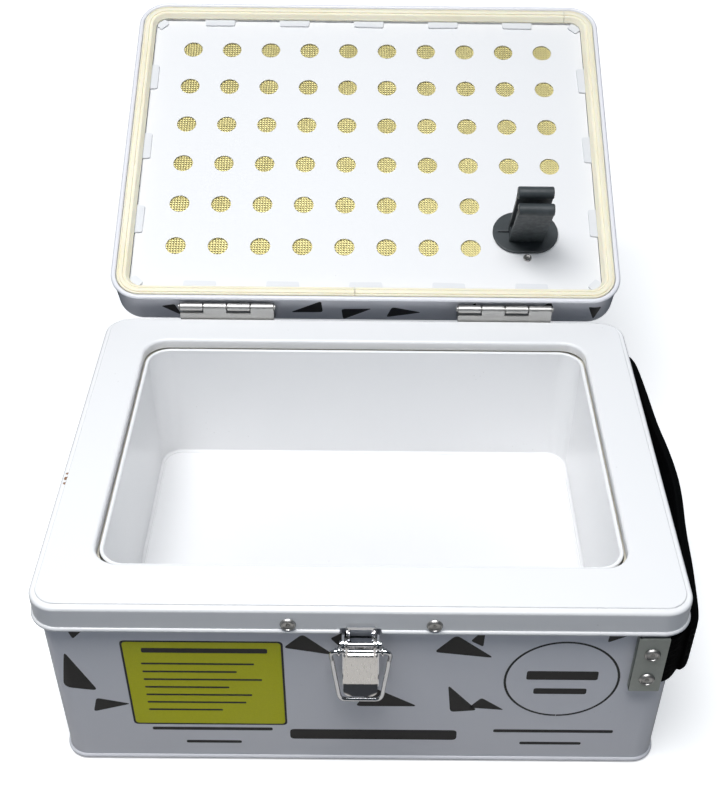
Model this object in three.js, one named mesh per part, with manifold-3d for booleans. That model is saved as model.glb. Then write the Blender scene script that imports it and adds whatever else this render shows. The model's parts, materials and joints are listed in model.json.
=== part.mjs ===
// Double-walled steel battery charging box with a hinged, vented lid, a wire-bail toggle latch
// and a webbing carry strap. Millimetres, +Z up, origin at the centre of the base, front on -Y.

import * as THREE from 'three';
import { mergeVertices } from 'three/addons/utils/BufferGeometryUtils.js';
import Module from 'manifold-3d';

const wasm = await Module();
wasm.setup();

// ---------------------------------------------------------------- driving dimensions

const SHEET = 0.8; // painted steel sheet
const GAP = 0.3; // clearance between separate pieces
const RIVET_CLEARANCE = 0.2; // radial, round a rivet's shank
const PIN_CLEARANCE = 0.15; // radial, round a turning pin
const CORNER_STEPS = 6; // facets in each rounded corner
const ROUND_STEPS = 12; // facets round a pin
const RIVET_STEPS = 10; // facets round a rivet

const BODY_HEIGHT = 108; // base to the top of the collar
const COLLAR = { halfX: 142.5, halfY: 108.2, radius: 13, centreY: 0 };
const COLLAR_SKIRT = 14.6; // collar top to the bottom of its rolled bead
const WALL = { halfX: 139.7, halfY: 105.4, radius: 10.2, centreY: 0 };
const OPENING = { halfX: 118.5, halfY: 84.1, radius: 12, centreY: 2.4 };
const TUB = { halfX: 115.8, halfY: 80, radius: 11, centreY: 2.4 };
const TUB_RIM_DROP = 4; // collar top to the top of the tub's rim
const TUB_FLOOR = 32.5; // base to the floor of the battery compartment

const LID_HEIGHT = 26; // collar top to the top of the closed lid
const LID = { halfX: 141.7, halfY: 107.3, radius: 16, centreY: 0 };
const LID_OPEN_DEGREES = 155;
const PANEL_EDGE = 8.9; // lid side to the edge of the perforated panel
const PANEL_BOTTOM = BODY_HEIGHT + 6;

const HINGE_AXIS = { y: 111, z: BODY_HEIGHT + 5 };
const HINGE_LENGTH = 52;
const HINGE_CENTRES = { left: -77, right: 77.5 };
const KNUCKLE_COUNT = 4;
const KNUCKLE_RADIUS = 2.3;
const HINGE_PIN_RADIUS = 1;

const LEVER_PIVOT = { y: -112.8, z: 91.7 };
const BAIL_PIVOT = { y: -112.8, z: 87.2 };
const BAIL_LENGTH = 32.5; // bail pivot to its lower bar
const BAIL_LATCHED_DEGREES = 183; // from hanging to hooked over the catch
const WIRE_RADIUS = 1;

const HEAD_OFF_FACE = 0.05; // clearance under a rivet's head
const RIVET = { head: 3.6, shank: 1.6, rise: 1.2 };
const COLLAR_RIVET = { head: 2.9, shank: 1.6, rise: 1.1 };
const SMALL_RIVET = { head: 2.4, shank: 1.2, rise: 0.8 };
const COLLAR_RIVETS = { xs: [-31, 31.5], z: BODY_HEIGHT - 9.1 };
const LATCH_RIVETS = { x: 0, zs: [62, 79] };
const CATCH_RIVETS = { x: 0, zs: [121.1, 126.2] };

const BRACKET = { inner: 119.6, outer: 133.1, bottom: 57.4, top: 92.2, thickness: 1.2 };
const BRACKET_RIVETS = [[126.6, 82.2], [126.6, 65.7]];
const STRAP = { thickness: 2, bottom: 60.5, top: 90.5, bow: 155.4 };

const VENT_HOLE = { radius: 5.75, pitchX: 24.07, pitchY: 29.04, columns: 10, rows: 6 };
const VENT_CENTRE = { x: -0.4, y: -2.7 };
const TOP_VENT = { radius: 3.5, columns: 7, rows: 3, pitchX: 24.07, pitchY: 29.04 };
const GROMMET = { x: 91.3, y: 59.7, halfX: 18.8, halfY: 13.8, neckX: 13.5, neckY: 8.4 };
const GROMMET_FLANGE = 1.8; // thickness
const GROMMET_RIVET = { x: 91.9, y: 76.2 };

// ---------------------------------------------------------------- solids

// A closed solid from a geometry, whose shared vertices are merged first.
function toSolid(geometry) {
  const bare = geometry.clone();
  bare.deleteAttribute('normal');
  bare.deleteAttribute('uv');
  const merged = mergeVertices(bare, 1e-4);
  const corners = merged.index.array;
  const kept = [];
  for (let i = 0; i < corners.length; i += 3) {
    const [a, b, c] = corners.slice(i, i + 3);
    if (a !== b && b !== c && c !== a) kept.push(a, b, c);
  }
  return new wasm.Manifold(new wasm.Mesh({
    numProp: 3,
    vertProperties: new Float32Array(merged.attributes.position.array),
    triVerts: new Uint32Array(kept),
  }));
}

function toGeometry(solid) {
  const mesh = solid.getMesh();
  const geometry = new THREE.BufferGeometry();
  geometry.setAttribute('position', new THREE.BufferAttribute(mesh.vertProperties, 3));
  geometry.setIndex(new THREE.BufferAttribute(mesh.triVerts, 1));
  geometry.computeVertexNormals();
  return geometry;
}

function join(...geometries) {
  return toGeometry(geometries.map(toSolid).reduce((whole, piece) => whole.add(piece)));
}

function cut(geometry, ...tools) {
  return toGeometry(tools.map(toSolid).reduce((rest, tool) => rest.subtract(tool), toSolid(geometry)));
}

// ---------------------------------------------------------------- basic shapes

function grow(outline, distance) {
  return {
    halfX: outline.halfX + distance,
    halfY: outline.halfY + distance,
    radius: outline.radius + distance,
    centreY: outline.centreY,
  };
}

function roundedRectangle({ halfX, halfY, radius, centreY }) {
  const shape = new THREE.Shape();
  const [x, y] = [halfX - radius, halfY - radius];
  shape.absarc(x, centreY - y, radius, -Math.PI / 2, 0);
  shape.absarc(x, centreY + y, radius, 0, Math.PI / 2);
  shape.absarc(-x, centreY + y, radius, Math.PI / 2, Math.PI);
  shape.absarc(-x, centreY - y, radius, Math.PI, 1.5 * Math.PI);
  shape.closePath();
  return shape;
}

function stadium(centreX, centreY, halfX, halfY) {
  const shape = new THREE.Shape();
  const reach = halfX - halfY;
  shape.absarc(centreX + reach, centreY, halfY, -Math.PI / 2, Math.PI / 2);
  shape.absarc(centreX - reach, centreY, halfY, Math.PI / 2, 1.5 * Math.PI);
  shape.closePath();
  return shape;
}

// A flat piece of the given shape, seen from above, between two heights.
function slab(shape, bottom, top, curveSegments = CORNER_STEPS) {
  const geometry = new THREE.ExtrudeGeometry(shape, {
    depth: top - bottom,
    bevelEnabled: false,
    curveSegments,
  });
  return geometry.translate(0, 0, bottom);
}

// A section drawn in [y, z] and carried along X.
function bar(section, fromX, toX) {
  const shape = new THREE.Shape(section.map(([y, z]) => new THREE.Vector2(y, z)));
  const geometry = new THREE.ExtrudeGeometry(shape, { depth: toX - fromX, bevelEnabled: false });
  return geometry.applyMatrix4(new THREE.Matrix4().set(0, 0, 1, fromX, 1, 0, 0, 0, 0, 1, 0, 0, 0, 0, 0, 1));
}

// A section drawn in [x, z] and carried along Y.
function upright(section, fromY, toY) {
  const shape = new THREE.Shape(section.map(([x, z]) => new THREE.Vector2(x, z)));
  const geometry = new THREE.ExtrudeGeometry(shape, { depth: toY - fromY, bevelEnabled: false });
  return geometry.rotateX(Math.PI / 2).translate(0, toY, 0);
}

function block(fromX, toX, fromY, toY, fromZ, toZ) {
  const geometry = new THREE.BoxGeometry(toX - fromX, toY - fromY, toZ - fromZ);
  return geometry.translate((fromX + toX) / 2, (fromY + toY) / 2, (fromZ + toZ) / 2);
}

function rodX(radius, fromX, toX, y, z, steps = ROUND_STEPS) {
  const geometry = new THREE.CylinderGeometry(radius, radius, toX - fromX, steps);
  return geometry.rotateZ(Math.PI / 2).translate((fromX + toX) / 2, y, z);
}

function rodY(radius, fromY, toY, x, z) {
  const geometry = new THREE.CylinderGeometry(radius, radius, toY - fromY, ROUND_STEPS);
  return geometry.translate(x, (fromY + toY) / 2, z);
}

function arc(centre, radius, fromDegrees, toDegrees, steps) {
  return Array.from({ length: steps + 1 }, (_, step) => {
    const turn = THREE.MathUtils.degToRad(fromDegrees + ((toDegrees - fromDegrees) * step) / steps);
    return [centre[0] + radius * Math.cos(turn), centre[1] + radius * Math.sin(turn)];
  });
}

// A closed ring: a section of [outward, z] points carried round a rounded rectangle. It starts as
// a lathed ring, whose columns are then moved to the four corners of the outline.
function ring(outline, section) {
  const points = section.map(([outward, z]) => new THREE.Vector2(outline.radius + outward, z));
  if (THREE.ShapeUtils.isClockWise(points)) points.reverse();
  points.push(points[0]);
  const perCorner = CORNER_STEPS + 1;
  const geometry = new THREE.LatheGeometry(points, 4 * perCorner);
  const position = geometry.attributes.position;
  for (let index = 0; index < position.count; index += 1) {
    const column = Math.floor(index / points.length) % (4 * perCorner);
    const corner = Math.floor(column / perCorner);
    const turn = (corner + (column % perCorner) / CORNER_STEPS) * (Math.PI / 2);
    const { x: radius, y: z } = points[index % points.length];
    const x = [1, -1, -1, 1][corner] * (outline.halfX - outline.radius);
    const y = [1, 1, -1, -1][corner] * (outline.halfY - outline.radius);
    position.setXYZ(index, x + radius * Math.cos(turn), outline.centreY + y + radius * Math.sin(turn), z);
  }
  return geometry;
}

// A blind rivet lying along +Z: domed head above zero, shank below, swollen tail at the end.
function rivet({ head, shank, rise }, length, swollen = true) {
  const tail = { radius: shank * 1.3, length: 2 };
  const swelling = [[0, -length - tail.length], [tail.radius, -length - tail.length], [tail.radius, -length]];
  const profile = [
    ...(swollen ? swelling : [[0, -length]]),
    [shank, -length],
    [shank, 0],
    [head, 0],
    [head * 0.6, rise],
    [head * 0.36, rise],
    [0, rise * 0.5],
  ];
  const points = profile.map(([radius, z]) => new THREE.Vector2(radius, z));
  return new THREE.LatheGeometry(points, RIVET_STEPS).rotateX(Math.PI / 2);
}

// A hole along Y for a rivet's shank.
function rivetHole({ shank }, fromY, toY, x, z) {
  return rodY(shank + RIVET_CLEARANCE, fromY, toY, x, z);
}

// A bore along X for a turning pin.
function pinBore(radius, halfLength, centreX, y, z) {
  return rodX(radius + PIN_CLEARANCE, centreX - halfLength, centreX + halfLength, y, z);
}

function rivetFacingFront(kind, length, x, y, z) {
  return rivet(kind, length).rotateX(Math.PI / 2).translate(x, y, z);
}

function rivetFacingRear(kind, length, x, y, z) {
  return rivet(kind, length).rotateX(-Math.PI / 2).translate(x, y, z);
}

// ---------------------------------------------------------------- materials

function finish(color, roughness, metalness) {
  return new THREE.MeshStandardMaterial({ color, roughness, metalness });
}

const whitePaint = () => finish(0xf0f0ee, 0.25, 0);
const printedPaint = () => finish(0xa9adb8, 0.4, 0.1);
const chrome = () => finish(0xd8d8da, 0.12, 1);
const zinc = () => finish(0xb9bbb4, 0.35, 0.9);
const galvanised = () => finish(0x8c9088, 0.5, 0.8);
const blackRubber = () => finish(0x1d1e1f, 0.65, 0);
const blackWebbing = () => finish(0x141414, 0.85, 0);
const mineralBoard = () => finish(0xd9d4c6, 0.95, 0);
const creamSeal = () => finish(0xf1ead0, 0.6, 0);
const brassWire = () => finish(0xb89c4e, 0.4, 0.9);

function addPiece(group, name, geometry, material) {
  const mesh = new THREE.Mesh(geometry, material);
  mesh.name = name;
  group.add(mesh);
}

// ---------------------------------------------------------------- box body

const collarInside = BODY_HEIGHT - SHEET;
const wallInner = -SHEET;
const skirtFront = -COLLAR.halfY;
const wallFront = -WALL.halfY;

function outerWall() {
  const [low, high] = [1.6, BODY_HEIGHT - 3.5];
  const section = [[wallInner, low], [0, low], [0, high], [wallInner, high]];
  const across = [wallFront - 1, wallFront + 2];
  const acrossRear = [-across[1], -across[0]];
  const tools = [
    ...COLLAR_RIVETS.xs.map((x) => rivetHole(COLLAR_RIVET, ...across, x, COLLAR_RIVETS.z)),
    ...LATCH_RIVETS.zs.map((z) => rivetHole(SMALL_RIVET, ...across, LATCH_RIVETS.x, z)),
    ...BRACKET_RIVETS.map(([x, z]) => rivetHole(RIVET, ...across, x, z)),
    ...BRACKET_RIVETS.map(([x, z]) => rivetHole(RIVET, ...acrossRear, x, z)),
  ];
  return cut(ring(WALL, section), ...tools);
}

// Flat base whose edge turns out under the wall and up round its foot.
function bottomPan() {
  const hem = [
    [-7, 0], [0.4, 0], ...arc([0.4, 0.8], 0.8, -60, 0, 2), [1.2, 3.2],
    [0.4, 3.2], [0.4, 1.2], [-1.2, 1.2], [-1.2, SHEET], [-7, SHEET],
  ];
  return join(ring(WALL, hem), slab(roundedRectangle(grow(WALL, -6)), 0, SHEET));
}

function innerTub() {
  const rimRadius = 0.95;
  const rim = [0.85, BODY_HEIGHT - TUB_RIM_DROP - rimRadius];
  const section = [
    [-8, TUB_FLOOR], [-1.6, TUB_FLOOR], [-0.5, TUB_FLOOR + 0.4], [0, TUB_FLOOR + 1.6],
    ...arc(rim, rimRadius, 215, -60, 7),
    [SHEET, rim[1] - 1.6], [SHEET, TUB_FLOOR + 1.2], [0.1, TUB_FLOOR - 0.3], [-1.4, TUB_FLOOR - SHEET],
    [-8, TUB_FLOOR - SHEET],
  ];
  return join(ring(TUB, section), slab(roundedRectangle(grow(TUB, -7)), TUB_FLOOR - SHEET, TUB_FLOOR));
}

const BOARD = grow(WALL, -SHEET - 4.5); // outline that clears the rivet tails inside the wall
const BOARD_SPLIT = 31; // height where the wall board stands on the floor board
const BOARD_TOP = 101;

function wallInsulation() {
  const shape = roundedRectangle(BOARD);
  shape.holes.push(roundedRectangle(grow(TUB, SHEET + 1.4)));
  return slab(shape, BOARD_SPLIT, BOARD_TOP);
}

function floorInsulation() {
  return slab(roundedRectangle(BOARD), SHEET + GAP, BOARD_SPLIT - GAP);
}

// Frame between wall and tub: raised plateau, lower edge, skirt with a rolled bead, and a lip
// turned down round the opening. The bead is notched at the front for the latch.
function topCollar() {
  const edge = 1.6;
  const step = 0.8; // plateau down to the edge
  const edgeCentre = [-edge, BODY_HEIGHT - step - edge];
  const beadRadius = 1.2;
  const bead = [-0.2, BODY_HEIGHT - COLLAR_SKIRT + beadRadius];
  const outside = [
    [-8, BODY_HEIGHT], [-3.2, BODY_HEIGHT], [-2.5, BODY_HEIGHT - step],
    ...arc(edgeCentre, edge, 90, 0, 3),
    ...arc(bead, beadRadius, 80, -190, 7),
    [-SHEET, bead[1] + 1.4], ...arc(edgeCentre, edge - SHEET, 0, 90, 2),
    [-2.8, BODY_HEIGHT - step - SHEET], [-3.5, collarInside], [-8, collarInside],
  ];
  const lipCentre = [edge, BODY_HEIGHT - edge];
  const lipLow = BODY_HEIGHT - 5.6;
  const lip = [
    [3.5, BODY_HEIGHT], ...arc(lipCentre, edge, 90, 180, 3), [0, lipLow],
    [SHEET, lipLow], ...arc(lipCentre, edge - SHEET, 180, 90, 2), [3.5, collarInside],
  ];
  const plate = roundedRectangle(grow(COLLAR, -7));
  plate.holes.push(roundedRectangle(grow(OPENING, 2.5)));
  const whole = join(ring(COLLAR, outside), ring(OPENING, lip), slab(plate, collarInside, BODY_HEIGHT));

  const notchTop = BODY_HEIGHT - COLLAR_SKIRT + 3.2;
  const notch = upright(
    [[-11, notchTop - 6], [11, notchTop - 6], [8.6, notchTop], [-8.6, notchTop]],
    skirtFront - 2,
    skirtFront + 3,
  );
  const across = [skirtFront - 1, skirtFront + 2];
  const holes = COLLAR_RIVETS.xs.map((x) => rivetHole(COLLAR_RIVET, ...across, x, COLLAR_RIVETS.z));
  return cut(whole, notch, ...holes);
}

function addBody(group) {
  addPiece(group, 'outer_wall', outerWall(), printedPaint());
  addPiece(group, 'bottom_pan', bottomPan(), whitePaint());
  addPiece(group, 'inner_tub', innerTub(), whitePaint());
  addPiece(group, 'wall_insulation', wallInsulation(), mineralBoard());
  addPiece(group, 'floor_insulation', floorInsulation(), mineralBoard());
  addPiece(group, 'top_collar', topCollar(), whitePaint());
  const grip = wallFront - skirtFront + SHEET + GAP;
  ['left', 'right'].forEach((side, index) => {
    const place = [COLLAR_RIVETS.xs[index], skirtFront - HEAD_OFF_FACE, COLLAR_RIVETS.z];
    addPiece(group, `collar_rivet_${side}`, rivetFacingFront(COLLAR_RIVET, grip, ...place), zinc());
  });
}

// ---------------------------------------------------------------- hinges

const KNUCKLE_GAP = 0.4;
const knucklePitch = (HINGE_LENGTH + KNUCKLE_GAP) / KNUCKLE_COUNT;
const LEAF = 1; // thickness

// One leaf: its plate, and on every second knuckle station a tongue and a knuckle.
function hingeLeaf(centreX, firstKnuckle, plate, tongue) {
  const startX = centreX - HINGE_LENGTH / 2;
  const pieces = [block(startX, startX + HINGE_LENGTH, ...plate)];
  for (let station = firstKnuckle; station < KNUCKLE_COUNT; station += 2) {
    const fromX = startX + station * knucklePitch;
    const toX = fromX + knucklePitch - KNUCKLE_GAP;
    pieces.push(rodX(KNUCKLE_RADIUS, fromX, toX, HINGE_AXIS.y, HINGE_AXIS.z));
    pieces.push(bar(tongue, fromX, toX));
  }
  const bore = pinBore(HINGE_PIN_RADIUS, HINGE_LENGTH / 2 + 1, centreX, HINGE_AXIS.y, HINGE_AXIS.z);
  return cut(join(...pieces), bore);
}

function bodyLeaf(centreX) {
  const inner = HINGE_AXIS.y - KNUCKLE_RADIUS;
  const outer = inner + LEAF;
  const tongueLow = HINGE_AXIS.z - 3.2;
  const plate = [inner, outer, BODY_HEIGHT - 10.6, tongueLow + 0.4];
  const tongue = [
    [inner, tongueLow], [outer, tongueLow], [outer + 0.05, HINGE_AXIS.z], [inner + 0.05, HINGE_AXIS.z],
  ];
  return hingeLeaf(centreX, 1, plate, tongue);
}

function lidLeaf(centreX) {
  const inner = LID.halfY + GAP;
  const outer = inner + LEAF;
  const tongueHigh = HINGE_AXIS.z + 3.8;
  const plate = [inner, outer, tongueHigh - 0.4, HINGE_AXIS.z + 14.5];
  const knuckleSide = HINGE_AXIS.y - KNUCKLE_RADIUS + 0.05;
  const tongue = [
    [knuckleSide, HINGE_AXIS.z], [knuckleSide + LEAF + 0.1, HINGE_AXIS.z],
    [outer, tongueHigh], [inner, tongueHigh],
  ];
  return hingeLeaf(centreX, 0, plate, tongue);
}

// A pin along X with a flat head on each end.
function headedPin(radius, headRadius, reach, centreX, { y, z }) {
  const head = 0.8;
  return join(
    rodX(radius, centreX - reach, centreX + reach, y, z),
    rodX(headRadius, centreX - reach - head, centreX - reach, y, z),
    rodX(headRadius, centreX + reach, centreX + reach + head, y, z),
  );
}

function addHinges(bodyGroup, lidGroup) {
  Object.entries(HINGE_CENTRES).forEach(([side, centreX]) => {
    addPiece(bodyGroup, `hinge_${side}_body_leaf`, bodyLeaf(centreX), zinc());
    const reach = HINGE_LENGTH / 2 + 0.2;
    const pin = headedPin(HINGE_PIN_RADIUS, HINGE_PIN_RADIUS + 0.5, reach, centreX, HINGE_AXIS);
    addPiece(bodyGroup, `hinge_${side}_pin`, pin, zinc());
    addPiece(lidGroup, `hinge_${side}_lid_leaf`, lidLeaf(centreX), zinc());
  });
}

// ---------------------------------------------------------------- toggle latch

const EAR = { inner: 6.9, outer: 8.1, radius: 2.9 };
const LEVER_SIDE = { inner: 5.5, outer: 6.5, radius: 2.4 };
const LATCH_GRIP = 2.6; // plate, wall and clearances under a small rivet's head

// Back plate on the wall, two ears for the lever pin, and an upright frame that passes the notch.
function latchBase() {
  const backFace = wallFront - GAP;
  const frontFace = backFace - 1;
  const ear = [
    [backFace, 84], [frontFace - 1, 84], [frontFace - 3, 86.6],
    ...arc([LEVER_PIVOT.y, LEVER_PIVOT.z], EAR.radius, -90, -270, 6),
    [frontFace - 1, 94.6], [backFace, 94.6],
  ];
  const [frameFront, frameBack] = [skirtFront - 1.7, skirtFront - 0.7];
  const frame = { half: 6.1, low: 87.6, high: BODY_HEIGHT - 8.8 };
  const window = { half: 4.8, low: 90, high: BODY_HEIGHT - 10.2 };
  const plateTop = 88.8;
  const solid = join(
    block(-EAR.outer, EAR.outer, frontFace, backFace, 55.5, plateTop),
    bar(ear, EAR.inner, EAR.outer),
    bar(ear, -EAR.outer, -EAR.inner),
    block(-frame.half, frame.half, frameFront, backFace, frame.low, plateTop),
    block(-frame.half, frame.half, frameFront, frameBack, frame.low, frame.high),
  );
  const opening = block(-window.half, window.half, frameFront - 1, frameBack + 1, window.low, window.high);
  const bore = pinBore(WIRE_RADIUS, EAR.outer + 1, 0, LEVER_PIVOT.y, LEVER_PIVOT.z);
  const across = [frontFace - 1, backFace + 1];
  const holes = LATCH_RIVETS.zs.map((z) => rivetHole(SMALL_RIVET, ...across, LATCH_RIVETS.x, z));
  return cut(solid, opening, bore, ...holes);
}

// Channel lever: front plate that widens downwards, a lip curled outwards and two side flanges.
function latchLever() {
  const front = LEVER_PIVOT.y - 2.8;
  const plate = upright([[-7.6, 68.6], [7.6, 68.6], [7.3, 87.3], [-7.3, 87.3]], front, front + 1);
  const lip = [
    [front, 69], [front - 0.4, 67], [front - 1.1, 65.2], [front - 2.2, 63.6],
    [front - 1.4, 62.9], [front - 0.2, 64.7], [front + 0.5, 66.8], [front + 1, 69],
  ];
  const flange = [
    [front + 0.2, 70], [front + 1, 69], [LEVER_PIVOT.y + 1.6, 80], [LEVER_PIVOT.y + LEVER_SIDE.radius, 85],
    ...arc([LEVER_PIVOT.y, LEVER_PIVOT.z], LEVER_SIDE.radius, 0, 180, 6), [front, 86.5],
  ];
  const solid = join(
    plate,
    bar(lip, -7.3, 7.3),
    bar(flange, LEVER_SIDE.inner, LEVER_SIDE.outer),
    bar(flange, -LEVER_SIDE.outer, -LEVER_SIDE.inner),
  );
  const bores = [LEVER_PIVOT, BAIL_PIVOT].map(({ y, z }) => pinBore(WIRE_RADIUS, EAR.outer, 0, y, z));
  return cut(solid, ...bores);
}

// Wire loop that narrows downwards, with an eye at each end for the bail pin.
function bail() {
  const { y, z } = BAIL_PIVOT;
  const eye = { x: 9.4, radius: 2.1, half: 0.8 };
  const low = z - BAIL_LENGTH;
  const corners = {
    start: [eye.x, z - 2.3], shoulder: [12.9, z - 2.9], wide: [12.3, z - 6],
    narrow: [9.9, low + 5.2], turn: [9.4, low], bar: [6.2, low],
  };
  const placed = (side) => Object.fromEntries(
    Object.entries(corners).map(([name, [x, height]]) => [name, new THREE.Vector3(side * x, y, height)]),
  );
  const left = placed(-1);
  const right = placed(1);
  const path = new THREE.CurvePath();
  path.add(new THREE.QuadraticBezierCurve3(left.start, left.shoulder, left.wide));
  path.add(new THREE.LineCurve3(left.wide, left.narrow));
  path.add(new THREE.QuadraticBezierCurve3(left.narrow, left.turn, left.bar));
  path.add(new THREE.LineCurve3(left.bar, right.bar));
  path.add(new THREE.QuadraticBezierCurve3(right.bar, right.turn, right.narrow));
  path.add(new THREE.LineCurve3(right.narrow, right.wide));
  path.add(new THREE.QuadraticBezierCurve3(right.wide, right.shoulder, right.start));
  const circle = new THREE.Shape().absarc(0, 0, WIRE_RADIUS, 0, 2 * Math.PI);
  const along = { steps: 32, curveSegments: 4, bevelEnabled: false, extrudePath: path };
  const wire = new THREE.ExtrudeGeometry(circle, along);
  const eyes = [-eye.x, eye.x].map((x) => rodX(eye.radius, x - eye.half, x + eye.half, y, z));
  return cut(join(wire, ...eyes), pinBore(WIRE_RADIUS, eye.x + 2, 0, y, z));
}

// Hook on the lid's front that the bail's bar pulls down on when the lever is closed.
function lidCatch() {
  const back = -LID.halfY - GAP;
  const swing = THREE.MathUtils.degToRad(BAIL_LATCHED_DEGREES);
  const hooked = {
    y: BAIL_PIVOT.y - BAIL_LENGTH * Math.sin(swing),
    z: BAIL_PIVOT.z - BAIL_LENGTH * Math.cos(swing),
  };
  const armTop = hooked.z - WIRE_RADIUS - GAP;
  const armLow = armTop - 0.9;
  const tip = hooked.y - WIRE_RADIUS - GAP;
  const section = [
    [back, armLow], [back, 129.6], [back - 1, 129.6], [back - 1, armTop],
    [tip, armTop], [tip, armTop + 1.6], [tip - 0.9, armTop + 1.6], [tip - 0.9, armLow],
  ];
  const across = [back - 3, back + 1];
  const holes = CATCH_RIVETS.zs.map((z) => rivetHole(SMALL_RIVET, ...across, CATCH_RIVETS.x, z));
  return cut(bar(section, -6, 6), ...holes);
}

function addLatch(bodyGroup, lidGroup) {
  addPiece(bodyGroup, 'latch_base', latchBase(), chrome());
  const leverPin = headedPin(WIRE_RADIUS, 1.7, EAR.outer + 0.2, 0, LEVER_PIVOT);
  addPiece(bodyGroup, 'latch_lever_pin', leverPin, chrome());
  ['lower', 'upper'].forEach((place, index) => {
    const at = [LATCH_RIVETS.x, wallFront - GAP - 1 - HEAD_OFF_FACE, LATCH_RIVETS.zs[index]];
    addPiece(bodyGroup, `latch_rivet_${place}`, rivetFacingFront(SMALL_RIVET, LATCH_GRIP, ...at), chrome());
  });
  addPiece(bodyGroup, 'latch_lever', latchLever(), chrome());
  addPiece(bodyGroup, 'bail_pin', headedPin(WIRE_RADIUS, 1.4, 10.4, 0, BAIL_PIVOT), chrome());
  addPiece(bodyGroup, 'bail', bail(), chrome());
  addPiece(lidGroup, 'lid_catch', lidCatch(), chrome());
  ['lower', 'upper'].forEach((place, index) => {
    const at = [CATCH_RIVETS.x, -LID.halfY - GAP - 1 - HEAD_OFF_FACE, CATCH_RIVETS.zs[index]];
    addPiece(lidGroup, `catch_rivet_${place}`, rivetFacingFront(SMALL_RIVET, LATCH_GRIP, ...at), chrome());
  });
}

// ---------------------------------------------------------------- carry strap

// side is -1 for the front bracket and 1 for the rear one.
function strapBracket(side) {
  const { inner, outer, bottom, top, thickness } = BRACKET;
  const face = WALL.halfY + STRAP.thickness + 2 * GAP;
  const front = [[inner, bottom], [outer, bottom], [outer, top], [inner, top]];
  const plate = upright(front, face, face + thickness);
  const foot = [[inner, bottom], [inner + thickness, bottom], [inner + thickness, top], [inner, top]];
  const returnEdge = upright(foot, WALL.halfY + GAP, face + 0.5);
  const holes = BRACKET_RIVETS.map(([x, z]) => rivetHole(RIVET, face - 1, face + 3, x, z));
  const rear = cut(join(plate, returnEdge), ...holes);
  return side > 0 ? rear : toGeometry(toSolid(rear).mirror([0, 1, 0]));
}

// Flat webbing on edge, bowed out along the right side, its ends under the two brackets.
function carryStrap() {
  const middle = (STRAP.bottom + STRAP.top) / 2;
  const line = WALL.halfY + GAP + STRAP.thickness / 2;
  const frontHalf = [
    [122.4, -line], [131, -line], [138, -105.6], [143.8, -101], [147.4, -93], [149.6, -67], [151.8, -38],
  ];
  const points = [...frontHalf, [STRAP.bow, 0], ...frontHalf.map(([x, y]) => [x, -y]).reverse()];
  const path = new THREE.CatmullRomCurve3(points.map(([x, y]) => new THREE.Vector3(x, y, middle)));
  const halfWidth = (STRAP.top - STRAP.bottom) / 2;
  const halfThick = STRAP.thickness / 2;
  const section = new THREE.Shape([
    new THREE.Vector2(-halfWidth, -halfThick), new THREE.Vector2(halfWidth, -halfThick),
    new THREE.Vector2(halfWidth, halfThick), new THREE.Vector2(-halfWidth, halfThick),
  ]);
  const strap = new THREE.ExtrudeGeometry(section, { steps: 44, bevelEnabled: false, extrudePath: path });
  const holes = [-line, line].flatMap((end) => BRACKET_RIVETS.map(([x, z]) => {
    return rivetHole(RIVET, end - 3, end + 3, x, z);
  }));
  return cut(strap, ...holes);
}

function addStrap(group) {
  const headPlane = WALL.halfY + STRAP.thickness + 2 * GAP + BRACKET.thickness + HEAD_OFF_FACE;
  const grip = headPlane - WALL.halfY + SHEET + 4 * GAP;
  [['front', -1, rivetFacingFront], ['rear', 1, rivetFacingRear]].forEach(([end, side, place]) => {
    addPiece(group, `strap_bracket_${end}`, strapBracket(side), galvanised());
    ['upper', 'lower'].forEach((level, index) => {
      const [x, z] = BRACKET_RIVETS[index];
      addPiece(group, `strap_rivet_${end}_${level}`, place(RIVET, grip, x, side * headPlane, z), zinc());
    });
  });
  addPiece(group, 'carry_strap', carryStrap(), blackWebbing());
}

// ---------------------------------------------------------------- lid, drawn closed

const lidTop = BODY_HEIGHT + LID_HEIGHT;
const grommetNeck = (margin) => stadium(GROMMET.x, GROMMET.y, GROMMET.neckX + margin, GROMMET.neckY + margin);

// Outer pan with rounded top edges, vent holes and a rolled bead round its rim.
function lidShell() {
  const edge = 3.5;
  const edgeCentre = [-edge, lidTop - edge];
  const beadRadius = 1.4;
  const bead = [-0.3, BODY_HEIGHT + GAP + beadRadius];
  const section = [
    [-10, lidTop], ...arc(edgeCentre, edge, 90, 0, 4),
    ...arc(bead, beadRadius, 78, -190, 7),
    [-SHEET, bead[1] + 1.6], ...arc(edgeCentre, edge - SHEET, 0, 90, 3), [-10, lidTop - SHEET],
  ];
  const top = roundedRectangle(grow(LID, -9));
  top.holes.push(grommetNeck(GAP));
  for (let row = 0; row < TOP_VENT.rows; row += 1) {
    for (let column = 0; column < TOP_VENT.columns; column += 1) {
      const x = (column - (TOP_VENT.columns - 1) / 2) * TOP_VENT.pitchX;
      const y = (row - (TOP_VENT.rows - 1) / 2) * TOP_VENT.pitchY;
      const besideGrommet = Math.abs(x - GROMMET.x) < 30 && y > 20;
      if (!besideGrommet) {
        top.holes.push(new THREE.Path().absarc(x, y, TOP_VENT.radius, 0, 2 * Math.PI));
      }
    }
  }
  const across = [-LID.halfY - 1, -LID.halfY + 2];
  const holes = CATCH_RIVETS.zs.map((z) => rivetHole(SMALL_RIVET, ...across, CATCH_RIVETS.x, z));
  return cut(join(ring(LID, section), slab(top, lidTop - SHEET, lidTop, 5)), ...holes);
}

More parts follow.
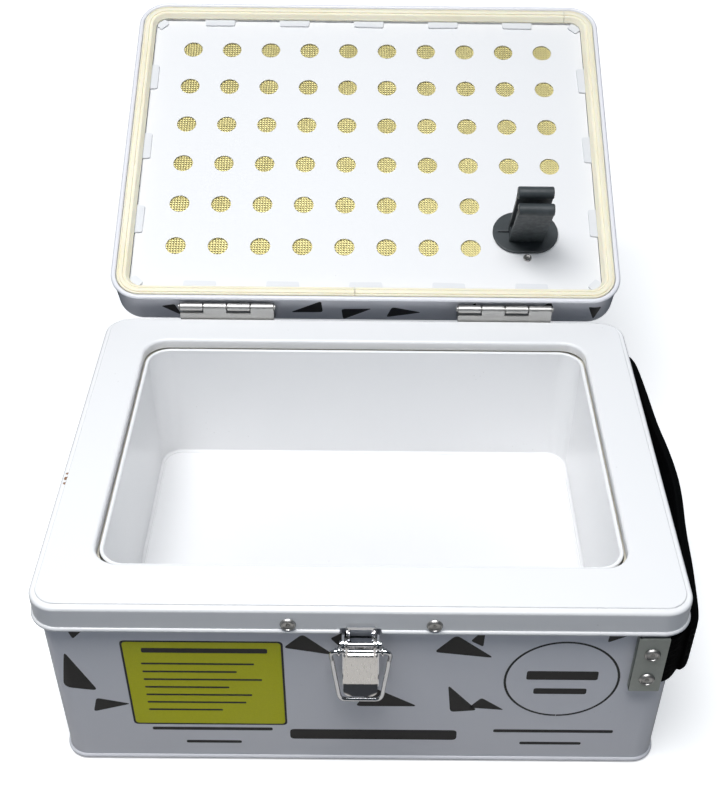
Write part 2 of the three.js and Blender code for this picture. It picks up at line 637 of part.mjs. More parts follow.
// Open frame inside the lid: side wall, an inward top flange welded under the lid, an outward
// flange behind the seal and tabs folded in under the edge of the perforated panel.
function filterTray() {
  const inner = GAP - PANEL_EDGE;
  const outer = inner + SHEET;
  const top = lidTop - SHEET - GAP;
  const low = PANEL_BOTTOM - 0.7;
  const flange = { outer: -1.3, low: PANEL_BOTTOM - GAP, high: PANEL_BOTTOM + 0.5 };
  const topInner = inner - 4;
  const section = [
    [inner, low], [outer, low], [outer, flange.low], [flange.outer, flange.low], [flange.outer, flange.high],
    [outer, flange.high], [outer, top], [topInner, top], [topInner, top - SHEET], [inner, top - SHEET],
  ];
  const halfX = LID.halfX + inner;
  const halfY = LID.halfY + inner;
  const tabReach = 4.6;
  const tabHeights = [PANEL_BOTTOM - GAP - SHEET, PANEL_BOTTOM - GAP];
  const tabHalf = 9.5;
  const tabs = [];
  [-93.2, -46.6, 0, 46.6, 93.2].forEach((x) => {
    tabs.push(block(x - tabHalf, x + tabHalf, halfY - tabReach, halfY + SHEET, ...tabHeights));
    tabs.push(block(x - tabHalf, x + tabHalf, -halfY - SHEET, -halfY + tabReach, ...tabHeights));
  });
  [-52.5, 0, 52.5].forEach((y) => {
    tabs.push(block(halfX - tabReach, halfX + SHEET, y - tabHalf, y + tabHalf, ...tabHeights));
    tabs.push(block(-halfX - SHEET, -halfX + tabReach, y - tabHalf, y + tabHalf, ...tabHeights));
  });
  [[1, 1], [-1, 1], [-1, -1], [1, -1]].forEach(([signX, signY]) => {
    const tab = block(-3.4, 3.4, -5, 1.9, ...tabHeights);
    tab.rotateZ(Math.atan2(-signX, signY)).translate(signX * (halfX - 3.4), signY * (halfY - 3.4), 0);
    tabs.push(tab);
  });
  return join(ring(LID, section), ...tabs);
}

// Panel with rows of round vent holes, which stop short of the cable grommet.
function perforatedPanel() {
  const shape = roundedRectangle(grow(LID, -PANEL_EDGE));
  const { radius, pitchX, pitchY, columns, rows } = VENT_HOLE;
  for (let row = 0; row < rows; row += 1) {
    for (let column = 0; column < columns; column += 1) {
      const besideGrommet = row >= rows - 2 && column >= columns - 2;
      if (!besideGrommet) {
        const x = VENT_CENTRE.x + (column - (columns - 1) / 2) * pitchX;
        const y = VENT_CENTRE.y + (row - (rows - 1) / 2) * pitchY;
        shape.holes.push(new THREE.Path().absarc(x, y, radius, 0, 2 * Math.PI));
      }
    }
  }
  shape.holes.push(grommetNeck(GAP));
  const rivetRadius = SMALL_RIVET.shank + RIVET_CLEARANCE;
  shape.holes.push(new THREE.Path().absarc(GROMMET_RIVET.x, GROMMET_RIVET.y, rivetRadius, 0, 2 * Math.PI));
  return slab(shape, PANEL_BOTTOM, PANEL_BOTTOM + SHEET, 5);
}

function filterLayer(margin, bottom, top) {
  const shape = roundedRectangle(grow(LID, -PANEL_EDGE - margin));
  shape.holes.push(grommetNeck(GAP));
  return slab(shape, bottom, top);
}

function lidSeal() {
  const low = BODY_HEIGHT + GAP + 0.1;
  const section = [
    [-2, low + 5], [-2, low + 0.5], [-2.6, low], [-5.4, low], [-6, low + 1.1], [-7.6, low + 1.4],
    [-PANEL_EDGE, low + 2.8], [-PANEL_EDGE, low + 4.1], [-7.4, low + 4.1], [-7.4, low + 5],
  ];
  return ring(LID, section);
}

// Rubber cable gland through the lid: a flange inside and outside, a slotted neck between them,
// and two long flaps that hang into the box and end in a bead.
function cableGrommet() {
  const flange = stadium(GROMMET.x, GROMMET.y, GROMMET.halfX, GROMMET.halfY);
  const flangeTop = PANEL_BOTTOM - GAP;
  const flangeBottom = flangeTop - GROMMET_FLANGE;
  const flapHalf = 9.7;
  const [fromX, toX] = [GROMMET.x - flapHalf, GROMMET.x + flapHalf];
  const beadRadius = 3.4;
  const root = flangeBottom + 0.5;
  const flaps = [
    { rootY: [3.8, 6.6], bead: [16, 43.5] },
    { rootY: [-3.4, -0.8], bead: [6, 45] },
  ].flatMap(({ rootY, bead: [across, drop] }) => {
    const beadY = GROMMET.y + across;
    const beadZ = flangeBottom - drop;
    const sheet = [
      [GROMMET.y + rootY[0], root], [GROMMET.y + rootY[1], root], [beadY + 1.2, beadZ], [beadY - 1.2, beadZ],
    ];
    return [bar(sheet, fromX, toX), rodX(beadRadius, fromX, toX, beadY, beadZ, 14)];
  });
  const webLow = root - 6;
  const web = [
    [GROMMET.y - 3.4, root], [GROMMET.y + 6.6, root], [GROMMET.y + 7.6, webLow], [GROMMET.y - 2.2, webLow],
  ];
  const solid = join(
    slab(flange, flangeBottom, flangeTop),
    slab(grommetNeck(0), flangeTop - 0.1, lidTop + GAP + 0.1),
    slab(flange, lidTop + GAP, lidTop + GAP + GROMMET_FLANGE),
    bar(web, fromX, toX),
    ...flaps,
  );
  const slotAcross = [GROMMET.y + 1, GROMMET.y + 3];
  const slot = block(fromX + 1.5, toX - 1.5, ...slotAcross, flangeBottom - 8, lidTop + 4);
  return cut(solid, slot);
}

function addLid(group) {
  addPiece(group, 'lid_shell', lidShell(), printedPaint());
  addPiece(group, 'filter_tray', filterTray(), whitePaint());
  addPiece(group, 'perforated_panel', perforatedPanel(), whitePaint());
  const meshBottom = PANEL_BOTTOM + SHEET + GAP;
  const meshTop = meshBottom + 0.5;
  addPiece(group, 'flame_mesh', filterLayer(GAP, meshBottom, meshTop), brassWire());
  addPiece(group, 'filter_pad', filterLayer(2 * GAP, meshTop + GAP, lidTop - 4), mineralBoard());
  addPiece(group, 'lid_seal', lidSeal(), creamSeal());
  addPiece(group, 'cable_grommet', cableGrommet(), blackRubber());
  const grommetRivet = rivet(SMALL_RIVET, SHEET, false).rotateX(Math.PI);
  grommetRivet.translate(GROMMET_RIVET.x, GROMMET_RIVET.y, PANEL_BOTTOM - HEAD_OFF_FACE);
  addPiece(group, 'grommet_rivet', grommetRivet, zinc());
}

// ---------------------------------------------------------------- assembly

// A group that turns about the hinge line; what it holds is drawn with the lid closed.
function openedLid() {
  const pivot = new THREE.Group();
  pivot.position.set(0, HINGE_AXIS.y, HINGE_AXIS.z);
  pivot.rotation.x = THREE.MathUtils.degToRad(-LID_OPEN_DEGREES);
  const drawnClosed = new THREE.Group();
  drawnClosed.position.set(0, -HINGE_AXIS.y, -HINGE_AXIS.z);
  pivot.add(drawnClosed);
  return { pivot, drawnClosed };
}

const batteryBox = new THREE.Group();
const { pivot, drawnClosed } = openedLid();
batteryBox.add(pivot);

addBody(batteryBox);
addStrap(batteryBox);
addHinges(batteryBox, drawnClosed);
addLatch(batteryBox, drawnClosed);
addLid(drawnClosed);

export default batteryBox;
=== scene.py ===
"""Looks of the double-walled battery charging box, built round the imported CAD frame.

Shapes are worked out in millimetres in the row frame and scaled to metres at the end. Pieces of the
lid are drawn closed and turned open about the hinge, as the CAD has them at rest.
"""

import json
import math
import random
from collections import namedtuple

import bmesh
import bpy
from mathutils import Matrix, Vector


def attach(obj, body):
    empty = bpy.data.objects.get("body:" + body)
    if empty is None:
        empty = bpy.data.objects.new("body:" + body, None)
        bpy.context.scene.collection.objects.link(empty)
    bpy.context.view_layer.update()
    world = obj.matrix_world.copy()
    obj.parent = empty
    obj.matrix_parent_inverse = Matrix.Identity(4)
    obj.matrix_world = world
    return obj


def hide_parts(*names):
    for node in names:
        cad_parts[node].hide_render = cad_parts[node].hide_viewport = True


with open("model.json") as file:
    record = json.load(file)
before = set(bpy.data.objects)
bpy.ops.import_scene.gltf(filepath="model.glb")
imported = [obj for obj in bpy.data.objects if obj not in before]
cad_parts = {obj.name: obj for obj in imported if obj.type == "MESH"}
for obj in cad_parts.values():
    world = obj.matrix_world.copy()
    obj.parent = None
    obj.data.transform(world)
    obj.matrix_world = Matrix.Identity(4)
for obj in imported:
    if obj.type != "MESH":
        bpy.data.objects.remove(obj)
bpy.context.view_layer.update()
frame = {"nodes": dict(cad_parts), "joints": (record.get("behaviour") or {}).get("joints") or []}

MM = 0.001
CORNER_STEPS = 20  # facets in each rounded corner of a sheet
ROUND_STEPS = 40  # facets round a rivet or a pin
SHARP_DEGREES = 32  # edges sharper than this are not smoothed

Outline = namedtuple("Outline", "half_x half_y radius centre_y")


# ---------------------------------------------------------------- sizes, from the frame

def joint(name):
    return next(entry for entry in frame["joints"] if entry["name"] == name)


def lid_opening():
    """The turn that carries a lid drawn closed to where it rests open."""
    hinge = joint("lid_hinge")
    centre = Vector(hinge["pos_m"])
    turn = Matrix.Rotation(-math.radians(hinge["range_deg"][1]), 4, Vector(hinge["axis"]))
    return Matrix.Translation(centre) @ turn @ Matrix.Translation(-centre)


OPENED = lid_opening()


def box_mm(node, closed=False):
    """Lowest and highest corner of a CAD node in millimetres, with the lid drawn closed if asked."""
    back = OPENED.inverted() if closed else Matrix.Identity(4)
    corners = [(back @ vertex.co) / MM for vertex in frame["nodes"][node].data.vertices]
    low = Vector([min(corner[axis] for corner in corners) for axis in range(3)])
    high = Vector([max(corner[axis] for corner in corners) for axis in range(3)])
    return low, high


def outline_from(node, overhang, radius, closed=False):
    """Outline of a rounded sheet whose beads stand out past it by the overhang."""
    low, high = box_mm(node, closed)
    half_x = (high.x - low.x) / 2 - overhang
    return Outline(half_x, (high.y - low.y) / 2 - overhang, radius, (high.y + low.y) / 2)


def grown(outline, distance):
    return Outline(outline.half_x + distance, outline.half_y + distance,
                   outline.radius + distance, outline.centre_y)


SHEET = 0.8
PRINT_STRIP = 0.8  # width of the strips that bend print round a corner
COLLAR = outline_from("top_collar", 1.0, 13.0)
WALL = outline_from("outer_wall", 0.0, 10.2)
TUB = outline_from("inner_tub", 1.8, 11.0)
OPENING = Outline(TUB.half_x + 2.7, TUB.half_y + 4.1, 12.0, TUB.centre_y)
LID = outline_from("lid_shell", 1.1, 16.0, closed=True)._replace(centre_y=0.0)

COLLAR_LOW, COLLAR_TOP = box_mm("top_collar")[0].z, box_mm("top_collar")[1].z
RIM_TOP = box_mm("inner_tub")[1].z
TUB_FLOOR = box_mm("inner_tub")[0].z + SHEET
WALL_LOW, WALL_TOP = box_mm("outer_wall")[0].z, box_mm("outer_wall")[1].z
LID_LOW, LID_TOP = [corner.z for corner in box_mm("lid_shell", closed=True)]
PANEL_LOW, PANEL_TOP = [corner.z for corner in box_mm("perforated_panel", closed=True)]
PANEL_EDGE = LID.half_x - box_mm("perforated_panel", closed=True)[1].x
HINGE_Y, HINGE_Z = joint("lid_hinge")["pos_m"][1] / MM, joint("lid_hinge")["pos_m"][2] / MM
LEVER_Y, LEVER_Z = joint("lever_lift")["pos_m"][1] / MM, joint("lever_lift")["pos_m"][2] / MM
PIN_BORE = 1.15  # radius of the bores that the latch's pins turn in
LIP_TOP = LEVER_Z - 22.7  # height where the lever's plate bends into its lip
BAIL_Y, BAIL_Z = joint("bail_swing")["pos_m"][1] / MM, joint("bail_swing")["pos_m"][2] / MM


# ---------------------------------------------------------------- mesh tools, in millimetres

def arc(centre, radius, start, end, steps):
    turns = [math.radians(start + (end - start) * step / steps) for step in range(steps + 1)]
    return [(centre[0] + radius * math.cos(turn), centre[1] + radius * math.sin(turn)) for turn in turns]


def on(outline, points):
    return [(outline, outward, z) for outward, z in points]


def rounded_rectangle(outline, outward=0.0, steps=CORNER_STEPS):
    """Points round a rounded rectangle, counter-clockwise seen from above."""
    wide = grown(outline, outward)
    reach_x, reach_y = wide.half_x - wide.radius, wide.half_y - wide.radius
    points = []
    for corner, (side_x, side_y) in enumerate([(1, 1), (-1, 1), (-1, -1), (1, -1)]):
        centre = (side_x * reach_x, wide.centre_y + side_y * reach_y)
        points += arc(centre, wide.radius, 90 * corner, 90 * corner + 90, steps)
    return points


def stadium(centre_x, centre_y, half_x, half_y, steps=16):
    reach = half_x - half_y
    right = arc((centre_x + reach, centre_y), half_y, -90, 90, steps)
    left = arc((centre_x - reach, centre_y), half_y, 90, 270, steps)
    return right + left


def circle(centre_x, centre_y, radius, steps=ROUND_STEPS):
    return arc((centre_x, centre_y), radius, 0, 360 - 360 / steps, steps - 1)


def rounded_polygon(corners, radius, steps=5):
    """A polygon whose corners are rounded by a curve that starts the given distance before each."""
    points = []
    count = len(corners)
    for index, corner in enumerate(corners):
        here = Vector(corner)
        before = (Vector(corners[index - 1]) - here).normalized() * radius
        after = (Vector(corners[(index + 1) % count]) - here).normalized() * radius
        for step in range(steps + 1):
            share = step / steps
            point = here + before * (1 - share) ** 2 + after * share ** 2
            points.append((point.x, point.y))
    return points


def loft(bm, rings, closed):
    """Quads between rings of points. closed joins the last ring to the first; else the ends are capped."""
    made = [[bm.verts.new(point) for point in ring] for ring in rings]
    pairs = list(zip(made, made[1:]))
    if closed:
        pairs.append((made[-1], made[0]))
    for first, second in pairs:
        for index in range(len(first)):
            after = (index + 1) % len(first)
            bm.faces.new((first[index], first[after], second[after], second[index]))
    if not closed:
        bm.faces.new(reversed(made[0]))
        bm.faces.new(made[-1])


def sheet(bm, section, closed=True):
    """A section of (outline, outward, z) carried round its outlines."""
    rings = []
    for outline, outward, z in section:
        rings.append([(x, y, z) for x, y in rounded_rectangle(outline, outward)])
    loft(bm, rings, closed)


def extrude(bm, polygon, start, end, place):
    """A closed prism. place(a, b, along) puts a polygon point at a distance along the prism."""
    loft(bm, [[place(a, b, along) for a, b in polygon] for along in (start, end)], closed=False)


def along_x(a, b, along):
    return (along, a, b)


def along_y(a, b, along):
    return (a, along, b)


def along_z(a, b, along):
    return (a, b, along)


def lathe(bm, profile, place, closed=False, steps=ROUND_STEPS):
    """A round solid: profile holds (radius, distance along). place(a, b, along) puts a point."""
    rings = []
    for radius, along in profile:
        turns = [2 * math.pi * step / steps for step in range(steps)]
        rings.append([place(radius * math.cos(turn), radius * math.sin(turn), along) for turn in turns])
    loft(bm, rings, closed)


def rod_x(bm, radius, start, end, y, z, soft=0.25, steps=ROUND_STEPS):
    """A rod along X whose ends are softened."""
    profile = [(radius - soft, start), (radius, start + soft), (radius, end - soft), (radius - soft, end)]
    lathe(bm, profile, lambda a, b, along: (along, y + a, z + b), steps=steps)


def tube_x(bm, radius, bore, start, end, y, z, soft=0.3):
    profile = [
        (bore, start), (radius - soft, start), (radius, start + soft),
        (radius, end - soft), (radius - soft, end), (bore, end),
    ]
    lathe(bm, profile, lambda a, b, along: (along, y + a, z + b), closed=True)


def soften_edges(bm, width, degrees=40, segments=2):
    sharp = [edge for edge in bm.edges
             if len(edge.link_faces) == 2 and edge.calc_face_angle(0) > math.radians(degrees)]
    bmesh.ops.bevel(bm, geom=sharp, offset=width, segments=segments, profile=0.5, affect="EDGES",
                    clamp_overlap=True)


def mark_sharp(bm):
    for face in bm.faces:
        face.smooth = True
    for edge in bm.edges:
        if len(edge.link_faces) == 2:
            edge.smooth = edge.calc_face_angle(0) < math.radians(SHARP_DEGREES)


def filled_plate(bm, outlines, low, high, soft):
    """A flat plate with holes and softened edges, from closed outlines seen from above."""
    curve = bpy.data.curves.new("plate", "CURVE")
    curve.dimensions = "2D"
    curve.fill_mode = "BOTH"
    curve.extrude = (high - low) / 2 - soft
    curve.bevel_depth = soft
    curve.bevel_resolution = 1
    curve.offset = -soft
    for outline in outlines:
        spline = curve.splines.new("POLY")
        spline.points.add(len(outline) - 1)
        spline.use_cyclic_u = True
        for point, (x, y) in zip(spline.points, outline):
            point.co = (x, y, 0, 1)
    holder = bpy.data.objects.new("plate", curve)
    bpy.context.scene.collection.objects.link(holder)
    graph = bpy.context.evaluated_depsgraph_get()
    flat = bpy.data.meshes.new_from_object(holder.evaluated_get(graph))
    flat.transform(Matrix.Translation((0, 0, (low + high) / 2)))
    bm.from_mesh(flat)
    bpy.data.objects.remove(holder)
    bmesh.ops.remove_doubles(bm, verts=bm.verts, dist=0.0005)


def side_plates(bm, outlines, spans):
    """Upright plates across X with holes and softened edges, from closed (y, z) outlines."""
    for start, end in spans:
        part = bmesh.new()
        filled_plate(part, outlines, start, end, 0.16)
        for vert in part.verts:
            vert.co = vert.co.zxy
        flat = bpy.data.meshes.new("side_plate")
        part.to_mesh(flat)
        part.free()
        bm.from_mesh(flat)


def cut_away(piece, cutter):
    """Cuts one object out of another and removes it."""
    modifier = piece.modifiers.new("cut", "BOOLEAN")
    modifier.operation = "DIFFERENCE"
    modifier.solver = "EXACT"
    modifier.object = cutter
    graph = bpy.context.evaluated_depsgraph_get()
    result = bpy.data.meshes.new_from_object(piece.evaluated_get(graph))
    piece.modifiers.clear()
    piece.data = result
    bpy.data.objects.remove(cutter)
    bm = bmesh.new()
    bm.from_mesh(result)
    mark_sharp(bm)
    bm.to_mesh(result)
    bm.free()


def new_object(name, bm, body, merge=True):
    """A mesh object in metres from a bmesh in millimetres; a lid's piece is turned open."""
    bmesh.ops.recalc_face_normals(bm, faces=bm.faces)
    mark_sharp(bm)
    mesh = bpy.data.meshes.new(name)
    bm.to_mesh(mesh)
    bm.free()
    mesh.transform(Matrix.Scale(MM, 4))
    if body == "lid":
        mesh.transform(OPENED)
    made = bpy.data.objects.new(name, mesh)
    bpy.context.scene.collection.objects.link(made)
    return made


def piece(name, bm, material, body, replaces, slot):
    """A finished piece that rides on a body and stands for the CAD nodes it replaces."""
    made = new_object(name, bm, body)
    made.data.materials.append(material)
    even = made.modifiers.new("even_shading", "WEIGHTED_NORMAL")
    even.keep_sharp = True
    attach(made, body)
    if replaces:
        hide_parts(*replaces)
    return made


# ---------------------------------------------------------------- material tools

def node(tree, kind, settings=None, values=None):
    """Adds a shader node, sets its properties, and sets or links its inputs."""
    made = tree.nodes.new(kind)
    for name, value in (settings or {}).items():
        setattr(made, name, value)
    for key, value in (values or {}).items():
        if isinstance(value, bpy.types.NodeSocket):
            tree.links.new(value, made.inputs[key])
        else:
            made.inputs[key].default_value = value
    return made


def math_node(tree, operation, first, second=0.0, clamp=False):
    settings = {"operation": operation, "use_clamp": clamp}
    return node(tree, "ShaderNodeMath", settings, {0: first, 1: second}).outputs[0]


def mixed(tree, factor, first, second):
    settings = {"data_type": "RGBA"}
    return node(tree, "ShaderNodeMix", settings, {0: factor, 6: first, 7: second}).outputs[2]


def remap(tree, value, low, high, new_low, new_high):
    values = {"Value": value, "From Min": low, "From Max": high, "To Min": new_low, "To Max": new_high}
    return node(tree, "ShaderNodeMapRange", {"clamp": True}, values).outputs[0]


def noise(tree, place, scale, detail=2.0, roughness=0.5, distortion=0.0):
    values = {"Vector": place, "Scale": scale, "Detail": detail, "Roughness": roughness,
              "Distortion": distortion}
    return node(tree, "ShaderNodeTexNoise", None, values).outputs["Fac"]


def stretched(tree, place, scale):
    return node(tree, "ShaderNodeMapping", None, {"Vector": place, "Scale": scale}).outputs[0]


def bump(tree, height, distance, strength=1.0, normal=None):
    values = {"Height": height, "Distance": distance, "Strength": strength}
    if normal:
        values["Normal"] = normal
    return node(tree, "ShaderNodeBump", None, values).outputs[0]


def start_material(name):
    """A material with an empty node tree, and where each point is in metres in the row frame."""
    material = bpy.data.materials.new(name)
    material.use_nodes = True
    tree = material.node_tree
    tree.nodes.clear()
    place = node(tree, "ShaderNodeTexCoord").outputs["Object"]
    return material, tree, place


def end_material(material, tree, values):
    shader = node(tree, "ShaderNodeBsdfPrincipled", None, values)
    node(tree, "ShaderNodeOutputMaterial", None, {"Surface": shader.outputs[0]})
    material.diffuse_color = (0.8, 0.8, 0.8, 1)
    return material


def rgb(red, green, blue):
    return (red, green, blue, 1.0)


# ---------------------------------------------------------------- materials

def near_point(tree, place, centre, radius, raggedness, scale):
    """1 within a ragged spot round a point and 0 outside."""
    away = node(tree, "ShaderNodeVectorMath", {"operation": "DISTANCE"}, {0: place, 1: centre})
    ragged = math_node(tree, "MULTIPLY", noise(tree, place, scale, 3), raggedness)
    edge = math_node(tree, "ADD", away.outputs["Value"], ragged)
    return math_node(tree, "LESS_THAN", edge, radius)


def enamel(name, colour, roughness, chips=()):
    """Stoved enamel: fine orange peel, very faint clouding, a little dust and rusty chips."""
    material, tree, place = start_material(name)
    cloud = noise(tree, place, 9, 1)
    dark = tuple(0.98 * channel for channel in colour[:3]) + (1.0,)
    base = mixed(tree, cloud, dark, colour)
    speck = node(tree, "ShaderNodeTexVoronoi", None, {"Vector": place, "Scale": 260.0}).outputs["Distance"]
    sparse = math_node(tree, "GREATER_THAN", noise(tree, place, 45, 1), 0.68)
    dust = math_node(tree, "MULTIPLY", math_node(tree, "LESS_THAN", speck, 0.09), sparse)
    base = mixed(tree, math_node(tree, "MULTIPLY", dust, 0.18), base, rgb(0.33, 0.31, 0.29))
    gloss = remap(tree, noise(tree, place, 16, 1), 0, 1, roughness * 0.94, roughness * 1.06)
    normal = bump(tree, noise(tree, place, 800, 1), 0.00002, 0.35)
    for centre, radius in chips:
        spot = near_point(tree, place, centre, radius, radius * 0.9, 900)
        base = mixed(tree, spot, base, rgb(0.27, 0.15, 0.085))
        gloss = math_node(tree, "MAXIMUM", gloss, math_node(tree, "MULTIPLY", spot, 0.8))
    return end_material(material, tree, {
        "Base Color": base, "Roughness": gloss, "Normal": normal,
        "Coat Weight": 0.1, "Coat Roughness": 0.15, "Specular IOR Level": 0.4,
    })


def printed(name, colour, roughness):
    """Ink or film printed on the tin: the same soft gloss as the sheet under it, with screen grain."""
    material, tree, place = start_material(name)
    grain = noise(tree, place, 1600, 1)
    cloud = noise(tree, place, 30, 3)
    pale = tuple(min(1.0, 1.15 * channel + 0.006) for channel in colour[:3]) + (1.0,)
    share = math_node(tree, "MULTIPLY", remap(tree, grain, 0.35, 0.75, 0, 1), 0.45)
    base = mixed(tree, share, colour, pale)
    gloss = remap(tree, cloud, 0.3, 0.7, roughness * 0.85, roughness * 1.2)
    normal = bump(tree, noise(tree, place, 1100, 2), 0.00003, 0.5)
    return end_material(material, tree, {
        "Base Color": base, "Roughness": gloss, "Normal": normal, "Specular IOR Level": 0.3,
    })


def plated(name, colour, roughness, scratch_scale=1.0, dirt=0.1, polished_below=None):
    """Plated steel: hairline scratches, a trace of grime, a painted dark reflection where the surface is seen edge-on,
    and if asked a polished part below a height.
    """
    material, tree, place = start_material(name)
    lines = noise(tree, stretched(tree, place, (2600 * scratch_scale, 300, 160)), 1.0, 2)
    grime = remap(tree, noise(tree, place, 120, 2), 0.5, 0.8, 0, dirt)
    base = mixed(tree, grime, colour, tuple(0.5 * channel for channel in colour[:3]) + (1.0,))
    # Painted reflection: the base colour turns near-black where the surface is seen edge-on, standing in for a dark
    # room mirrored in the plate.
    grazing_dark_reflection = node(tree, "ShaderNodeLayerWeight", None, {"Blend": 0.5}).outputs["Facing"]
    grazing_dark_reflection = remap(tree, grazing_dark_reflection, 0.42, 0.8, 0, 0.85)
    base = mixed(tree, grazing_dark_reflection, base, rgb(0.03, 0.032, 0.036))
    gloss = math_node(tree, "ADD", remap(tree, lines, 0.3, 0.7, roughness * 0.93, roughness * 1.1),
                      math_node(tree, "MULTIPLY", grime, 0.3))
    if polished_below:
        height = node(tree, "ShaderNodeSeparateXYZ", None, {0: place}).outputs[2]
        polished = math_node(tree, "LESS_THAN", height, polished_below)
        gloss = math_node(tree, "MULTIPLY", gloss, remap(tree, polished, 0, 1, 1, 0.22))
    normal = bump(tree, lines, 0.000004, 0.2, bump(tree, noise(tree, place, 180, 1), 0.00002, 0.25))
    return end_material(material, tree, {
        "Base Color": base, "Metallic": 1.0, "Roughness": gloss, "Normal": normal,
    })


def galvanised(name):
    """Dull zinc with a fine faint spangle and a greenish bloom."""
    material, tree, place = start_material(name)
    cells = node(tree, "ShaderNodeTexVoronoi", None, {"Vector": place, "Scale": 620.0}).outputs["Color"]
    spangle = node(tree, "ShaderNodeRGBToBW", None, {0: cells}).outputs[0]
    base = mixed(tree, spangle, rgb(0.36, 0.385, 0.355), rgb(0.41, 0.435, 0.405))
    bloom = remap(tree, noise(tree, place, 90, 3), 0.45, 0.75, 0, 0.35)
    base = mixed(tree, bloom, base, rgb(0.36, 0.38, 0.335))
    gloss = remap(tree, spangle, 0, 1, 0.42, 0.5)
    normal = bump(tree, noise(tree, place, 700, 2), 0.00002, 0.5)
    return end_material(material, tree, {
        "Base Color": base, "Metallic": 0.6, "Roughness": gloss, "Normal": normal,
    })


def rubber(name):
    """Moulded black rubber: fine matt grain, faint pale bloom."""
    material, tree, place = start_material(name)
    bloom = remap(tree, noise(tree, place, 70, 4, 0.6), 0.45, 0.75, 0, 0.5)
    base = mixed(tree, bloom, rgb(0.038, 0.046, 0.05), rgb(0.075, 0.086, 0.093))
    gloss = remap(tree, noise(tree, place, 350, 2), 0.3, 0.7, 0.42, 0.62)
    normal = bump(tree, noise(tree, place, 1500, 2), 0.00004, 0.6)
    return end_material(material, tree, {"Base Color": base, "Roughness": gloss, "Normal": normal})


def silicone(name):
    """Cream seal: soft translucent look, moulding grain and a little grime."""
    material, tree, place = start_material(name)
    stain = remap(tree, noise(tree, place, 25, 4), 0.45, 0.75, 0, 0.6)
    base = mixed(tree, stain, rgb(0.90, 0.85, 0.68), rgb(0.84, 0.76, 0.55))
    normal = bump(tree, noise(tree, place, 900, 3), 0.00005, 0.5, bump(tree, noise(tree, place, 60, 2), 0.0004, 0.4))
    return end_material(material, tree, {
        "Base Color": base, "Roughness": 0.5, "Normal": normal, "Subsurface Weight": 0.15,
        "Subsurface Radius": (0.003, 0.002, 0.001), "Subsurface Scale": 1.0,
    })


def webbing(name):
    """Black polyester webbing: ribs across the strap, crossed by fine warp yarns, a dusty nap on top."""
    material, tree, place = start_material(name)
    uv = node(tree, "ShaderNodeUVMap").outputs[0]
    parts = node(tree, "ShaderNodeSeparateXYZ", None, {0: uv})
    rib_turn = math_node(tree, "MULTIPLY", parts.outputs[0], 2 * math.pi / 1.5)
    warp_turn = math_node(tree, "MULTIPLY", parts.outputs[1], 2 * math.pi / 1.1)
    rib = math_node(tree, "SINE", rib_turn)
    shifted = math_node(tree, "ADD", warp_turn, math_node(tree, "MULTIPLY", rib, 1.2))
    weave = math_node(tree, "MULTIPLY", rib, math_node(tree, "SINE", shifted))
    height = remap(tree, weave, -1, 1, 0, 1)
    fluff = noise(tree, place, 1400, 3)
    base = mixed(tree, math_node(tree, "MULTIPLY", height, fluff), rgb(0.0004, 0.0005, 0.0006),
                 rgb(0.0045, 0.005, 0.006))
    normal = bump(tree, height, 0.00035, 0.9, bump(tree, fluff, 0.0001, 0.5))
    return end_material(material, tree, {
        "Base Color": base, "Roughness": 0.9, "Normal": normal, "Specular IOR Level": 0.06,
    })


def wire_cloth(name):
    """Woven brass cloth: crossing round wires, with painted shade in the openings between them."""
    material, tree, place = start_material(name)
    pitch = 2 * math.pi / 0.0016
    parts = node(tree, "ShaderNodeSeparateXYZ", None, {0: place})
    across = math_node(tree, "MULTIPLY", parts.outputs[0], pitch)
    along = math_node(tree, "MULTIPLY", parts.outputs[1], pitch / abs(math.cos(OPENED.to_euler().x)))
    over = math_node(tree, "MULTIPLY", math_node(tree, "SINE", across), math_node(tree, "SINE", along))
    thread_x = math_node(tree, "ABSOLUTE", math_node(tree, "SINE", math_node(tree, "MULTIPLY", across, 0.5)))
    thread_y = math_node(tree, "ABSOLUTE", math_node(tree, "SINE", math_node(tree, "MULTIPLY", along, 0.5)))
    wire = math_node(tree, "MAXIMUM", thread_x, thread_y)
    # Painted shade: between the wires the colour is a dark brown that stands in for the shade seen through the
    # openings.
    wire_else_gap_shade = remap(tree, wire, 0.7, 0.86, 0, 1)
    tarnish = remap(tree, noise(tree, place, 60, 3), 0.4, 0.7, 0, 0.5)
    metal = mixed(tree, tarnish, rgb(0.86, 0.76, 0.34), rgb(0.62, 0.53, 0.20))
    base = mixed(tree, wire_else_gap_shade, rgb(0.27, 0.24, 0.115), metal)
    height = math_node(tree, "ADD", wire, math_node(tree, "MULTIPLY", over, 0.35))
    return end_material(material, tree, {
        "Base Color": base, "Metallic": 0.55, "Roughness": 0.42,
        "Normal": bump(tree, height, 0.0003, 0.8),
    })


def fibre_board(name):
    """Pale mineral fibre board with a felted surface."""
    material, tree, place = start_material(name)
    fibres = noise(tree, stretched(tree, place, (900, 120, 500)), 1.0, 4)
    base = mixed(tree, fibres, rgb(0.62, 0.58, 0.47), rgb(0.80, 0.77, 0.68))
    return end_material(material, tree, {
        "Base Color": base, "Roughness": 0.95, "Normal": bump(tree, fibres, 0.0004, 0.7),
    })


CHIPS = [
    (Vector((-COLLAR.half_x + 2.4, along, COLLAR_TOP - 0.9)) * MM, radius)
    for along, radius in ((-22.5, 0.0015), (-26.0, 0.0021), (-29.5, 0.0016))
]
WHITE = enamel("white_enamel", rgb(0.88, 0.88, 0.885), 0.26, CHIPS)
